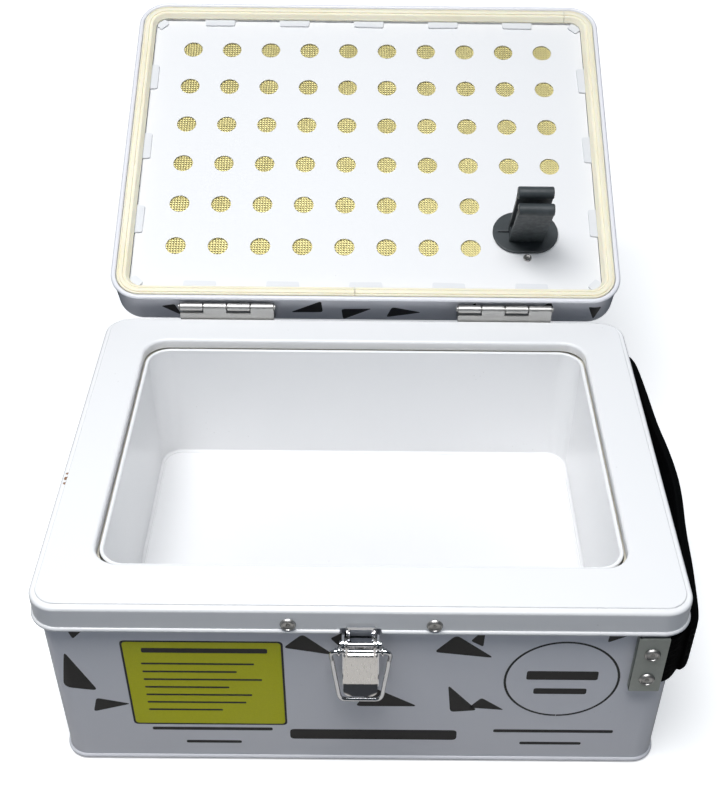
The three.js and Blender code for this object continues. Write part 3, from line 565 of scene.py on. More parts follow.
# Painted shade: the tabs are the tray's white enamel, made a little darker so that they look shaded against the panel.
TABS_PAINTED_SHADE = enamel("folded_tabs_painted_shade", rgb(0.76, 0.77, 0.79), 0.3)
TIN = enamel("printed_tin", rgb(0.84, 0.84, 0.88), 0.26)
INK = printed("black_ink", rgb(0.012, 0.011, 0.011), 0.35)
FILM = printed("yellow_film", rgb(0.68, 0.67, 0.012), 0.4)
CHROME = plated("chrome_plate", rgb(0.80, 0.81, 0.83), 0.08, 1.0, 0.05)
SATIN = plated("satin_plate", rgb(0.90, 0.88, 0.85), 0.26, 0.3, 0.03, LIP_TOP * MM)
ZINC = plated("zinc_plate", rgb(0.56, 0.555, 0.54), 0.43, 1.0, 0.1)
GALVANISED = galvanised("galvanised_steel")
RUBBER = rubber("moulded_rubber")
SEAL = silicone("silicone_seal")
WEBBING = webbing("woven_webbing")
CLOTH = wire_cloth("brass_wire_cloth")
BOARD = fibre_board("mineral_board")


# ---------------------------------------------------------------- box body

def add_collar():
    """White frame round the opening: plateau, lower ledge, skirt, rolled bead and turned-down lip."""
    edge, step, small, bead = 1.6, 0.8, 0.4, 1.2
    skirt_centre = (-edge, COLLAR_TOP - step - edge)
    bead_centre = (-0.2, COLLAR_LOW + bead)
    lip_centre = (edge, COLLAR_TOP - edge)
    lip_low = COLLAR_TOP - 5.6
    outside = arc((-3.3, COLLAR_TOP - small), small, 90, 0, 4)
    outside += arc((-2.5, COLLAR_TOP - small), small, 180, 270, 4)
    outside += arc(skirt_centre, edge, 90, 0, 8)
    outside += arc(bead_centre, bead, 80, -190, 20)
    outside += [(-SHEET, bead_centre[1] + 1.4)]
    outside += arc(skirt_centre, edge - SHEET, 0, 90, 4)
    outside += [(-3.5, COLLAR_TOP - SHEET - 0.4), (-4.2, COLLAR_TOP - SHEET)]
    lip = [(3.5, COLLAR_TOP - SHEET)] + arc(lip_centre, edge - SHEET, 90, 180, 5)
    lip += [(SHEET, lip_low + 0.2), (SHEET - 0.2, lip_low), (0.2, lip_low), (0, lip_low + 0.2)]
    lip += arc(lip_centre, edge, 180, 90, 8) + [(3.5, COLLAR_TOP)]
    bm = bmesh.new()
    sheet(bm, on(COLLAR, outside) + on(OPENING, lip))
    collar = piece("collar_frame", bm, WHITE, "box", ["top_collar"], "white_paint")

    notch_top = COLLAR_LOW + 3.2
    corners = [(-11, COLLAR_LOW - 3), (11, COLLAR_LOW - 3), (9.2, COLLAR_LOW + 1.4), (8.6, notch_top),
               (-8.6, notch_top), (-9.2, COLLAR_LOW + 1.4)]
    tool = bmesh.new()
    extrude(tool, corners, -COLLAR.half_y - 2, -COLLAR.half_y + 3, along_y)
    cut_away(collar, new_object("notch", tool, "box"))


def add_tub():
    """Battery compartment: floor with a fine seam, tight bottom fold and a rolled rim."""
    fold, rim = 1.3, 0.95
    rim_centre = (0.85, RIM_TOP - rim)
    section = [(-4, TUB_FLOOR), (-2.35, TUB_FLOOR), (-2.15, TUB_FLOOR - 0.6), (-1.45, TUB_FLOOR - 0.6)]
    section += arc((-fold, TUB_FLOOR + fold), fold, -88, 0, 5)
    section += arc(rim_centre, rim, 205, -60, 18)
    section += [(SHEET, rim_centre[1] - 1.6), (SHEET, TUB_FLOOR + 1.2), (0, TUB_FLOOR - 0.5),
                (-1.3, TUB_FLOOR - SHEET), (-4, TUB_FLOOR - SHEET)]
    bm = bmesh.new()
    sheet(bm, on(TUB, section), closed=False)
    piece("battery_tub", bm, WHITE, "box", ["inner_tub"], "white_paint")


def add_wall():
    bm = bmesh.new()
    sheet(bm, on(WALL, [(-SHEET, WALL_LOW), (0, WALL_LOW), (0, WALL_TOP), (-SHEET, WALL_TOP)]))
    piece("body_wall", bm, TIN, "box", ["outer_wall"], "printed_paint")


def add_pan():
    """Base whose edge is rolled round the wall's foot."""
    roll = 1.55
    centre = (-0.35, roll)
    section = [(-7, 0), (-4, 0)] + arc(centre, roll, -90, 62, 14)
    section += [(0.2, roll + 1.5), (0.15, roll), (-1.2, 1.2), (-4, SHEET), (-7, SHEET)]
    bm = bmesh.new()
    sheet(bm, on(WALL, section), closed=False)
    piece("base_pan", bm, TIN, "box", ["bottom_pan"], "white_paint")


def rivet_profile(head, rise, shank, depth):
    """Broad head with a raised rim round a shallow dish, and the end of the drawn stem in its hole."""
    rim = [(1.0, 0.12), (0.95, 0.5), (0.88, 0.86), (0.8, 1.0), (0.74, 0.93), (0.69, 0.62), (0.62, 0.5),
           (0.26, 0.4), (0.24, 0.1), (0.17, 0.1), (0.16, 0.42), (0.1, 0.5)]
    face = [(head * across, rise * up) for across, up in rim]
    return [(0.01, -depth), (shank, -depth), (shank, 0), (head * 0.97, 0)] + face + [(0.01, rise * 0.5)]


def add_rivets():
    """Every visible rivet stands where its CAD node is."""
    fronts = {
        "collar_rivet_left": (3.5, 1.2), "collar_rivet_right": (3.5, 1.2),
        "strap_rivet_front_upper": (3.6, 1.2), "strap_rivet_front_lower": (3.6, 1.2),
        "strap_rivet_rear_upper": (3.6, 1.2), "strap_rivet_rear_lower": (3.6, 1.2),
        "latch_rivet_lower": (2.4, 0.8), "latch_rivet_upper": (2.4, 0.8),
    }
    for name, (head, rise) in fronts.items():
        low, high = box_mm(name)
        facing = 1 if "rear" in name else -1
        face_y = high.y - rise if facing > 0 else low.y + rise
        centre_x, centre_z = (low.x + high.x) / 2, (low.z + high.z) / 2
        bm = bmesh.new()
        lathe(bm, rivet_profile(head, rise, head * 0.45, high.y - low.y - rise),
              lambda a, b, along: (centre_x + a, face_y + facing * along, centre_z + b))
        piece(f"{name}_head", bm, ZINC, "box", [name], "chrome" if "latch" in name else "zinc")


# ---------------------------------------------------------------- print

def around(outline, distance, lift):
    """The point a distance round the wall from the front's middle, and a little off its face."""
    side = 1 if distance >= 0 else -1
    rest = abs(distance)
    front, corner = outline.half_x - outline.radius, outline.radius * math.pi / 2
    flank = 2 * (outline.half_y - outline.radius)
    reach = outline.radius + lift
    if rest < front:
        return side * rest, outline.centre_y - outline.half_y - lift
    rest -= front
    if rest < corner:
        turn = rest / outline.radius
        return (side * (front + reach * math.sin(turn)),
                outline.centre_y - outline.half_y + outline.radius - reach * math.cos(turn))
    rest -= corner
    if rest < flank:
        return side * (outline.half_x + lift), outline.centre_y - flank / 2 + rest
    rest -= flank
    if rest < corner:
        turn = rest / outline.radius
        return (side * (front + reach * math.cos(turn)),
                outline.centre_y + flank / 2 + reach * math.sin(turn))
    rest -= corner
    return side * (front - rest), outline.centre_y + outline.half_y + lift


def add_print(name, polygons, outline, level, material, body):
    """Thin printed areas on a wall. Each polygon holds (distance round, height) points."""
    bm = bmesh.new()
    for polygon in polygons:
        extrude(bm, polygon, -0.06, 0.02 + 0.02 * level, along_z)
    start = min(vertex.co.x for vertex in bm.verts)
    end = max(vertex.co.x for vertex in bm.verts)
    cuts = int((end - start) / PRINT_STRIP)
    for cut in range(1, cuts):
        geometry = list(bm.verts) + list(bm.edges) + list(bm.faces)
        line = Vector((start + (end - start) * cut / cuts, 0, 0))
        if corner_near(outline, line.x):
            bmesh.ops.bisect_plane(bm, geom=geometry, plane_co=line, plane_no=(1, 0, 0))
    for vertex in bm.verts:
        x, y = around(outline, vertex.co.x, vertex.co.z)
        vertex.co = (x, y, vertex.co.y)
    return piece(name, bm, material, body, [], "printed_paint")


def corner_near(outline, distance):
    """True where the wall bends, so that print is cut into strips that can follow it."""
    front, corner = outline.half_x - outline.radius, outline.radius * math.pi / 2
    flank = 2 * (outline.half_y - outline.radius)
    rest = abs(distance)
    return front - 2 < rest < front + corner + 2 or front + corner + flank - 2 < rest < front + 2 * corner + flank + 2


def bar_shape(start, end, low, high, radius=0.9):
    return rounded_polygon([(start, low), (end, low), (end, high), (start, high)], radius)


def wedge_shape(centre, height, size, degrees):
    """A plain long triangle with softened corners, turned by an angle."""
    turn = math.radians(degrees)
    corners = []
    for along, across in [(-1.0, -0.42), (1.05, -0.12), (-0.55, 0.62)]:
        corners.append((centre + size * (along * math.cos(turn) - across * math.sin(turn)),
                        height + size * (along * math.sin(turn) + across * math.cos(turn))))
    return rounded_polygon(corners, size * 0.2)


def ring_shape(centre, height, outer, inner):
    """A ring as one outline: round the outside, across, and back round the inside."""
    outside = arc((centre, height), outer, -90, 269.5, 64)
    inside = arc((centre, height), inner, 269.5, -90, 64)
    return outside + inside


def add_front_print():
    """Plain panel with its lines, bars and ring in the places of the printed front."""
    panel = (-105.2, -34, 25.6, 84.5)
    left, right, low, high = panel
    add_print("print_panel_border", [bar_shape(left, right, low, high, 2.4)], WALL, 0, INK, "box")
    inner = bar_shape(left + 1, right - 1, low + 1, high - 1, 1.8)
    add_print("print_panel", [inner], WALL, 1, FILM, "box")
    lines = [bar_shape(left + 9, right - 7, 76.5, 79.6)]
    for row, length in enumerate([50, 42, 53, 38, 48, 45, 34]):
        lines.append(bar_shape(left + 8, left + 8 + length, 68.5 - 5.4 * row, 69.7 - 5.4 * row, 0.5))
    add_print("print_panel_lines", lines, WALL, 2, INK, "box")
    wide = [bar_shape(-33, 45, 15.2, 22.6, 2.2)]
    wide += [bar_shape(-97, -41, 21.4, 23.6), bar_shape(-82, -56, 11.6, 13.6)]
    wide += [bar_shape(62, 118, 21.4, 23.6), bar_shape(75, 104, 12.2, 14.2)]
    add_print("print_bars", wide, WALL, 0, INK, "box")
    ring = [ring_shape(90, 60, 26, 24.9)]
    ring += [bar_shape(74, 106, 60, 66, 1.2), bar_shape(78, 102, 50, 54, 1.2)]
    add_print("print_ring", ring, WALL, 0, INK, "box")


def scattered(random_source, spans, size, spacing, heights, keep_clear):
    """Triangles strewn over spans of the wall, none too near another or in a cleared area."""
    placed = []
    for start, end in spans:
        for _ in range(400):
            centre, height = random_source.uniform(start, end), random_source.uniform(*heights)
            near = any(math.hypot(centre - x, height - z) < spacing for x, z in placed)
            if not near and not any(a < centre < b and c < height < d for a, b, c, d in keep_clear):
                placed.append((centre, height))
    shapes = []
    for centre, height in placed:
        scale = size * random_source.uniform(0.8, 1.25)
        shapes.append(wedge_shape(centre, height, scale, random_source.uniform(0, 360)))
    return shapes


def add_wall_print():
    front = [wedge_shape(-128, 62, 14, 105), wedge_shape(-114.5, 40, 9, 10), wedge_shape(-122, 91, 6, 40),
             wedge_shape(-22, 81, 11, -20), wedge_shape(-8, 88, 6.5, 60), wedge_shape(12, 44, 14, -8),
             wedge_shape(46, 80, 13, -16), wedge_shape(52, 88.5, 6, 80), wedge_shape(44, 45, 11, 120),
             wedge_shape(58, 41, 8, -14), wedge_shape(112, 90, 6, 20)]
    source = random.Random(11)
    straight = 2 * (WALL.half_x - WALL.radius) + 2 * (WALL.half_y - WALL.radius)
    half_way_round = straight + math.pi * WALL.radius
    spans = [(-half_way_round + 8, -152), (152, half_way_round - 8)]
    front += scattered(source, spans, 12, 34, (20, 84), [])
    add_print("print_triangles", front, WALL, 0, INK, "box")


# ---------------------------------------------------------------- carry strap

def add_brackets():
    """Upright steel plate with a turned-in edge, over each end of the strap."""
    for end in ("front", "rear"):
        side = -1 if end == "front" else 1
        low, high = box_mm(f"strap_bracket_{end}")
        thick = 1.2
        outer_face = max(abs(low.y), abs(high.y))
        inner_face = min(abs(low.y), abs(high.y))
        plate = rounded_polygon([(low.x, low.z), (high.x, low.z), (high.x, high.z), (low.x, high.z)], 0.5, 3)
        foot = [(low.x, low.z), (low.x + thick, low.z), (low.x + thick, high.z), (low.x, high.z)]
        bm = bmesh.new()
        extrude(bm, plate, side * (outer_face - thick), side * outer_face, along_y)
        extrude(bm, foot, side * inner_face, side * (outer_face - 0.2), along_y)
        soften_edges(bm, 0.28)
        piece(f"bracket_{end}", bm, GALVANISED, "box", [f"strap_bracket_{end}"], "galvanised")


def spline_through(points, steps):
    """Catmull-Rom curve through the points."""
    ends = [points[0] * 2 - points[1]] + points + [points[-1] * 2 - points[-2]]
    curve = []
    for a, b, c, d in zip(ends, ends[1:], ends[2:], ends[3:]):
        for step in range(steps):
            t = step / steps
            curve.append(0.5 * (2 * b + (c - a) * t + (2 * a - 5 * b + 4 * c - d) * t * t
                                + (3 * b - a - 3 * c + d) * t ** 3))
    return curve + [points[-1]]


def strap_section(half_width, half_thick, ribs, steps, doubled=0.0):
    """Webbing section as (off the wall, height): rounded edges, cords along it, perhaps a second layer."""
    face = []
    for step in range(steps + 1):
        share = -1 + 2 * step / steps
        edge = math.sqrt(max(0.0, 1 - max(0.0, (abs(share) - 0.94) / 0.06) ** 2))
        cord = 0.9 + 0.1 * math.cos(share * ribs * math.pi)
        face.append((half_thick * max(0.12, edge) * cord, share * half_width))
    back = [(-thick, height) for thick, height in reversed(face)]
    outside = [(thick + doubled * min(1.0, 8 * (1 - abs(height) / half_width)), height) for thick, height in face]
    return outside + back


def add_strap():
    """Webbing on edge, bowed out along the right side, both ends under the brackets."""
    low, high = box_mm("carry_strap")
    line = high.y - 1.0
    middle, half_width = (low.z + high.z) / 2, (high.z - low.z) / 2
    bow = high.x - 1.0
    front = [(low.x + 0.4, -line), (131, -line), (136.8, 2 - line), (141.2, 7 - line),
             (bow - 9.2, 13.7 - line), (bow - 6.1, -67), (bow - 3.8, -38)]
    rear = [(bow - 3.5, 38), (bow - 4.8, 67), (bow - 6.5, line - 13.7), (145.2, line - 5.7),
            (139, line - 1.1), (131, line), (low.x + 0.4, line)]
    points = [Vector((x, y, 0)) for x, y in front + [(bow - 0.6, 0)] + rear]
    path = spline_through(points, 22)
    section = strap_section(half_width, 1.0, 9, 36)
    doubled_section = strap_section(half_width, 1.3, 9, 36, 1.3)
    layer_end = line - 8  # the second layer stops this far from the middle of the grip
    lengths = [0.0]
    for first, second in zip(path, path[1:]):
        lengths.append(lengths[-1] + (second - first).length)
    bm = bmesh.new()
    rings = []
    for index, point in enumerate(path):
        ahead = (path[min(index + 1, len(path) - 1)] - path[max(index - 1, 0)]).normalized()
        off = Vector((ahead.y, -ahead.x, 0))
        free = math.sin(math.pi * min(1.0, max(0.0, lengths[index] / lengths[-1]))) ** 2
        sway = 0.5 * free * math.sin(lengths[index] / 21.0) + 0.3 * free * math.sin(lengths[index] / 7.3)
        shape = doubled_section if abs(point.y) < layer_end else section
        rings.append([point + off * thick + Vector((0, 0, middle + height + sway)) for thick, height in shape])
    loft(bm, rings, closed=False)
    uv = bm.loops.layers.uv.new("weave")
    count = len(section)
    bm.verts.index_update()
    for face in bm.faces:
        for loop in face.loops:
            ring, place = divmod(loop.vert.index, count)
            loop[uv].uv = (lengths[ring], section[place][1])
    piece("webbing_strap", bm, WEBBING, "box", ["carry_strap"], "black_webbing")


# ---------------------------------------------------------------- hinges

def add_hinges():
    """Two leaves with rolled knuckles on a pin, either side of the lid."""
    for side in ("left", "right"):
        low, high = box_mm(f"hinge_{side}_body_leaf")
        pin_low, pin_high = box_mm(f"hinge_{side}_pin")
        centre = (pin_low.x + pin_high.x) / 2
        length, wire_else_gap_shade, radius, leaf = 52.0, 0.4, 2.3, 1.0
        pitch = (length + wire_else_gap_shade) / 4
        start = centre - length / 2
        stations = {"body": (1, 3), "lid": (0, 2)}
        plates = {
            "body": [(low.y, low.z), (low.y + leaf, low.z), (low.y + leaf, HINGE_Z - 2.8), (low.y, HINGE_Z - 2.8)],
            "lid": [(LID.half_y + 0.3, HINGE_Z + 3.4), (LID.half_y + 1.3, HINGE_Z + 3.4),
                    (LID.half_y + 1.3, HINGE_Z + 14.5), (LID.half_y + 0.3, HINGE_Z + 14.5)],
        }
        inner = HINGE_Y - radius
        tongues = {
            "body": [(inner, HINGE_Z - 3.2), (inner + leaf, HINGE_Z - 3.2), (inner + leaf, HINGE_Z),
                     (inner + 0.05, HINGE_Z)],
            "lid": [(inner + 0.05, HINGE_Z), (inner + leaf + 0.1, HINGE_Z), (LID.half_y + 1.3, HINGE_Z + 3.8),
                    (LID.half_y + 0.3, HINGE_Z + 3.8)],
        }
        for body, node_end in (("body", "body_leaf"), ("lid", "lid_leaf")):
            bm = bmesh.new()
            extrude(bm, plates[body], start, start + length, along_x)
            for station in stations[body]:
                begin = start + station * pitch
                extrude(bm, tongues[body], begin, begin + pitch - wire_else_gap_shade, along_x)
            soften_edges(bm, 0.2)
            for station in stations[body]:
                begin = start + station * pitch
                tube_x(bm, radius, 1.12, begin, begin + pitch - wire_else_gap_shade, HINGE_Y, HINGE_Z)
            rides = "box" if body == "body" else "lid"
            piece(f"hinge_{side}_{body}_side", bm, ZINC, rides, [f"hinge_{side}_{node_end}"], "zinc")
        bm = bmesh.new()
        rod_x(bm, 1.0, pin_low.x, pin_high.x, HINGE_Y, HINGE_Z)
        rod_x(bm, 1.5, pin_low.x, pin_low.x + 0.8, HINGE_Y, HINGE_Z, 0.2)
        rod_x(bm, 1.5, pin_high.x - 0.8, pin_high.x, HINGE_Y, HINGE_Z, 0.2)
        piece(f"hinge_{side}_rod", bm, ZINC, "box", [f"hinge_{side}_pin"], "zinc")


# ---------------------------------------------------------------- toggle latch

def add_latch_base():
    """Back plate, two ears and an upright frame that passes the collar's notch."""
    low, high = box_mm("latch_base")
    back, front = high.y, high.y - 1.0
    frame_front = -COLLAR.half_y - 1.7
    ear = [(back, 84), (front - 1, 84), (front - 3, 86.6)]
    ear += arc((LEVER_Y, LEVER_Z), 2.9, -90, -270, 14) + [(front - 1, 94.6), (back, 94.6)]
    bm = bmesh.new()
    half = high.x
    plate = rounded_polygon([(-half, low.z), (half, low.z), (half, 88.8), (-half, 88.8)], 2.0)
    extrude(bm, plate, front, back, along_y)
    extrude(bm, [(-6.1, 87.6), (6.1, 87.6), (6.1, 88.8), (-6.1, 88.8)], frame_front, back, along_y)
    bars = [(-6.1, 6.1, high.z - 1.5, high.z), (-6.1, -4.7, 87.6, high.z - 1.4), (4.7, 6.1, 87.6, high.z - 1.4)]
    for left, right, bottom, top in bars:
        extrude(bm, rounded_polygon([(left, bottom), (right, bottom), (right, top), (left, top)], 0.6),
                frame_front, frame_front + 1, along_y)
    soften_edges(bm, 0.22)
    bore = circle(LEVER_Y, LEVER_Z, PIN_BORE)
    side_plates(bm, [ear, bore], ((-half, -half + 1.2), (half - 1.2, half)))
    piece("latch_plate", bm, CHROME, "box", ["latch_base"], "chrome")
    bm = bmesh.new()
    pin_low, pin_high = box_mm("latch_lever_pin")
    rod_x(bm, 1.0, pin_low.x, pin_high.x, LEVER_Y, LEVER_Z)
    for start in (pin_low.x, pin_high.x - 0.8):
        rod_x(bm, 1.7, start, start + 0.8, LEVER_Y, LEVER_Z, 0.3)
    piece("lever_pin", bm, CHROME, "box", ["latch_lever_pin"], "chrome")


def lever_profile(front):
    """Outer face of the lever from top to lip as (y, z, half width)."""
    top, low, reach = LEVER_Z - 4.4, 62.9, 2.2
    rows = [(front + 0.35, top, 6.6), (front + 0.1, top - 0.5, 7.1), (front, top - 1.2, 7.3),
            (front, 78, 7.4), (front, LIP_TOP + 0.25, 7.6), (front - 0.1, LIP_TOP - 0.25, 7.6)]
    steps = 9
    for step in range(1, steps + 1):
        share = step / steps
        corner = 2.0 * (max(0.0, share - 0.6) / 0.4) ** 2.2
        rows.append((front - 0.1 - (reach - 0.1) * share, LIP_TOP - 0.25 - (LIP_TOP - 0.25 - low) * share, 7.5 - corner))
    return rows


def add_lever():
    """Flat front plate with a lip curled outwards, and a flange down each side."""
    low = box_mm("latch_lever")[0]
    front = LEVER_Y - 2.8
    bm = bmesh.new()
    rings = []
    for y, z, half in lever_profile(front):
        outer, inner = [], []
        for step in range(9):
            share = -1 + step / 4
            crown = 0.25 * max(0.0, abs(share) - 0.75) / 0.25
            outer.append((share * half, max(low.y, y + crown), z))
            inner.append((share * half, max(low.y, y + crown) + 0.9, z + 0.3))
        rings.append(outer + inner[::-1])
    loft(bm, rings, closed=False)
    side_radius = 2.4
    flange = [(front + 0.2, 70), (front + 1, 69), (LEVER_Y + 1.6, 80), (LEVER_Y + side_radius, 85)]
    flange += arc((LEVER_Y, LEVER_Z), side_radius, 0, 180, 12) + [(front, 86.5)]
    soften_edges(bm, 0.16, 50)
    bores = [circle(LEVER_Y, LEVER_Z, PIN_BORE), circle(BAIL_Y, BAIL_Z, PIN_BORE)]
    side_plates(bm, [flange] + bores, ((5.5, 6.5), (-6.5, -5.5)))
    piece("lever_plate", bm, SATIN, "lever", ["latch_lever"], "chrome")


def bezier(a, b, c, d, steps):
    points = []
    for step in range(steps + 1):
        t = step / steps
        points.append(a * (1 - t) ** 3 + b * 3 * t * (1 - t) ** 2 + c * 3 * t * t * (1 - t) + d * t ** 3)
    return points


def wire(bm, path, radius, steps=20):
    """A round wire along a path that lies in an upright plane facing the front."""
    rings = []
    for index, point in enumerate(path):
        ahead = (path[min(index + 1, len(path) - 1)] - path[max(index - 1, 0)]).normalized()
        side = ahead.cross(Vector((0, 1, 0))).normalized()
        ring = []
        for step in range(steps):
            turn = 2 * math.pi * step / steps
            ring.append(point + side * (radius * math.cos(turn)) + Vector((0, radius * math.sin(turn), 0)))
        rings.append(ring)
    loft(bm, rings, closed=False)


def add_bail():
    """Wire loop that narrows downwards; its shoulders pass round the pin's heads to an eye at each end."""
    eye_x, low, wide = 9.4, BAIL_Z - 32.5, BAIL_Z - 6

    def at(x, z, forward=0.0):
        return Vector((x, BAIL_Y - forward, z))

    right = bezier(at(eye_x + 0.2, BAIL_Z + 1.97, 1.74), at(11.6, BAIL_Z + 2.6, 2.19),
                   at(13.6, BAIL_Z + 1.25, 2.06), at(12.3, wide), 20)
    right += bezier(at(12.3, wide), at(11.4, wide - 9), at(10.6, low + 12), at(9.9, low + 5.2), 10)[1:]
    right += bezier(at(9.9, low + 5.2), at(9.5, low + 1.6), at(8.8, low), at(6.2, low), 12)[1:]
    left = [Vector((-point.x, point.y, point.z)) for point in right]
    bm = bmesh.new()
    wire(bm, left + right[::-1], 1.0)
    for side in (-1, 1):
        tube_x(bm, 2.1, 1.2, side * eye_x - 0.8, side * eye_x + 0.8, BAIL_Y, BAIL_Z, 0.5)
    piece("bail_wire", bm, CHROME, "bail", ["bail"], "chrome")
    bm = bmesh.new()
    pin_low, pin_high = box_mm("bail_pin")
    rod_x(bm, 1.0, pin_low.x, pin_high.x, BAIL_Y, BAIL_Z)
    for start in (pin_low.x, pin_high.x - 0.8):
        rod_x(bm, 1.4, start, start + 0.8, BAIL_Y, BAIL_Z, 0.3)
    piece("bail_cross_pin", bm, CHROME, "bail_pin", ["bail_pin"], "chrome")


def add_catch():
    """Hook on the lid's front edge, drawn closed, and its two rivets."""
    low, high = box_mm("lid_catch", closed=True)
    arm_low = low.z
    section = [(high.y, arm_low), (high.y, high.z), (high.y - 1, high.z), (high.y - 1, arm_low + 0.9),
               (low.y + 0.9, arm_low + 0.9), (low.y + 0.9, arm_low + 2.5), (low.y, arm_low + 2.5), (low.y, arm_low)]
    bm = bmesh.new()
    extrude(bm, section, low.x, high.x, along_x)
    soften_edges(bm, 0.25)
    piece("catch_hook", bm, CHROME, "lid", ["lid_catch"], "chrome")
    for place in ("lower", "upper"):
        low, high = box_mm(f"catch_rivet_{place}", closed=True)
        centre_x, centre_z = (low.x + high.x) / 2, (low.z + high.z) / 2
        bm = bmesh.new()
        lathe(bm, rivet_profile(2.4, 0.8, 1.1, high.y - low.y - 0.8),
              lambda a, b, along: (centre_x + a, low.y + 0.8 - along, centre_z + b))
        piece(f"catch_rivet_{place}_head", bm, CHROME, "lid", [f"catch_rivet_{place}"], "chrome")


# ---------------------------------------------------------------- lid, drawn closed

GLAND_LOW, GLAND_HIGH = box_mm("cable_grommet", closed=True)
GLAND_X = (GLAND_LOW.x + GLAND_HIGH.x) / 2
GLAND_HALF_X = (GLAND_HIGH.x - GLAND_LOW.x) / 2
GLAND_HALF_Y = 13.8
GLAND_Y = GLAND_LOW.y + GLAND_HALF_Y
NECK = (13.5, 8.4)
VENT_PITCH = (24.07, 29.04)
VENT_CENTRE = (-0.4, -2.7)


def vents(columns, rows, centre, radius, skip):
    holes = []
    for row in range(rows):
        for column in range(columns):
            x = centre[0] + (column - (columns - 1) / 2) * VENT_PITCH[0]
            y = centre[1] + (row - (rows - 1) / 2) * VENT_PITCH[1]
            if not skip(row, column, x, y):
                holes.append(circle(x, y, radius))
    return holes


def add_lid_pan():
    """Outer pan: vented top, rounded edge, skirt and rolled bead."""
    edge, bead = 3.5, 1.4
    edge_centre = (-edge, LID_TOP - edge)
    bead_centre = (-0.3, LID_LOW + bead)
    section = [(-9, LID_TOP)] + arc(edge_centre, edge, 90, 0, 12) + arc(bead_centre, bead, 78, -190, 22)
    section += [(-SHEET, bead_centre[1] + 1.6)] + arc(edge_centre, edge - SHEET, 0, 90, 8)
    section += [(-9, LID_TOP - SHEET)]
    bm = bmesh.new()
    sheet(bm, on(LID, section))
    holes = vents(7, 3, (0, 0), 3.5, lambda row, column, x, y: abs(x - GLAND_X) < 30 and y > 20)
    holes.append(stadium(GLAND_X, GLAND_Y, NECK[0] + 0.3, NECK[1] + 0.3))
    filled_plate(bm, [rounded_rectangle(LID, -9)] + holes, LID_TOP - SHEET, LID_TOP, 0.05)
    piece("lid_pan", bm, TIN, "lid", ["lid_shell"], "printed_paint")


def add_lid_print():
    source = random.Random(5)
    skirt = scattered(source, [(-480, 480)], 8.5, 22, (LID_LOW + 9, LID_TOP - 10), [])
    add_print("print_lid_skirt", skirt, LID, 0, INK, "lid")
    placed = []
    bm = bmesh.new()
    for _ in range(900):
        x, y = source.uniform(-118, 118), source.uniform(-86, 86)
        in_holes = abs(x - GLAND_X) < 34 and abs(y - GLAND_Y) < 28
        for column in range(-3, 4):
            for row in (-1, 0, 1):
                in_holes = in_holes or math.hypot(x - column * VENT_PITCH[0], y - row * VENT_PITCH[1]) < 11
        if not in_holes and all(math.hypot(x - a, y - b) > 26 for a, b in placed):
            placed.append((x, y))
            size = 8.5 if abs(y) < 45 and abs(x) < 85 else source.uniform(11, 15)
            extrude(bm, wedge_shape(x, y, min(size, 9.5 if abs(y) < 45 and abs(x) < 90 else size),
                                    source.uniform(0, 360)), LID_TOP - 0.06, LID_TOP + 0.03, along_z)
    piece("print_lid_top", bm, INK, "lid", [], "printed_paint")


def add_tray():
    """Frame inside the lid with tabs folded in over the edge of the perforated panel."""
    inner, outer = 0.3 - PANEL_EDGE, 0.3 - PANEL_EDGE + SHEET
    top = LID_TOP - SHEET - 0.3
    low = PANEL_LOW - 0.7
    section = [(inner, low + 0.2), (inner + 0.2, low), (outer - 0.2, low), (outer, low + 0.2), (outer, PANEL_LOW - 0.3),
               (-1.5, PANEL_LOW - 0.3), (-1.3, PANEL_LOW - 0.1), (-1.3, PANEL_LOW + 0.5), (outer, PANEL_LOW + 0.5),
               (outer, top), (inner - 4, top), (inner - 4, top - SHEET), (inner, top - SHEET)]
    bm = bmesh.new()
    sheet(bm, on(LID, section))
    piece("tray_frame", bm, WHITE, "lid", ["filter_tray"], "white_paint")

    tab_low, tab_high = PANEL_LOW - 0.3 - SHEET, PANEL_LOW - 0.3
    reach_x, reach_y = LID.half_x + inner, LID.half_y + inner
    source = random.Random(3)
    places = []
    for x in (-93.2, -46.6, 0, 46.6, 93.2):
        places += [(x, reach_y, 0, 19), (x, -reach_y, 180, 19)]
    for y in (-52.5, 0, 52.5):
        places += [(reach_x, y, -90, 19), (-reach_x, y, 90, 19)]
    for side_x, side_y in ((1, 1), (-1, 1), (-1, -1), (1, -1)):
        turn = math.degrees(math.atan2(-side_x, side_y))
        places.append((side_x * (reach_x - 2.6), side_y * (reach_y - 2.6), turn, 7.6))
    bm = bmesh.new()
    for x, y, degrees, width in places:
        tab = bmesh.new()
        half = width / 2
        skew = source.uniform(-0.25, 0.25)
        corners = [(-half, 1.0), (-half + 0.5, -4.6 + skew), (half - 0.5, -4.6 - skew), (half, 1.0)]
        extrude(tab, rounded_polygon(corners, 0.9), tab_low, tab_high, along_z)
        soften_edges(tab, 0.2, 50)
        place = Matrix.Translation((x, y, 0)) @ Matrix.Rotation(math.radians(degrees), 4, "Z")
        bmesh.ops.transform(tab, matrix=place, verts=tab.verts)
        holder = bpy.data.meshes.new("tab")
        tab.to_mesh(holder)
        tab.free()
        bm.from_mesh(holder)
    piece("tray_tabs", bm, TABS_PAINTED_SHADE, "lid", [], "white_paint")


def add_panel():
    """Perforated panel that holds the wire cloth."""
    def beside_gland(row, column, x, y):
        return row >= 4 and column >= 8

    holes = vents(10, 6, VENT_CENTRE, 5.75, beside_gland)
    holes.append(stadium(GLAND_X, GLAND_Y, NECK[0] + 0.3, NECK[1] + 0.3))
    bm = bmesh.new()
    filled_plate(bm, [rounded_rectangle(LID, -PANEL_EDGE)] + holes, PANEL_LOW, PANEL_TOP, 0.15)
    piece("vent_panel", bm, WHITE, "lid", ["perforated_panel"], "white_paint")


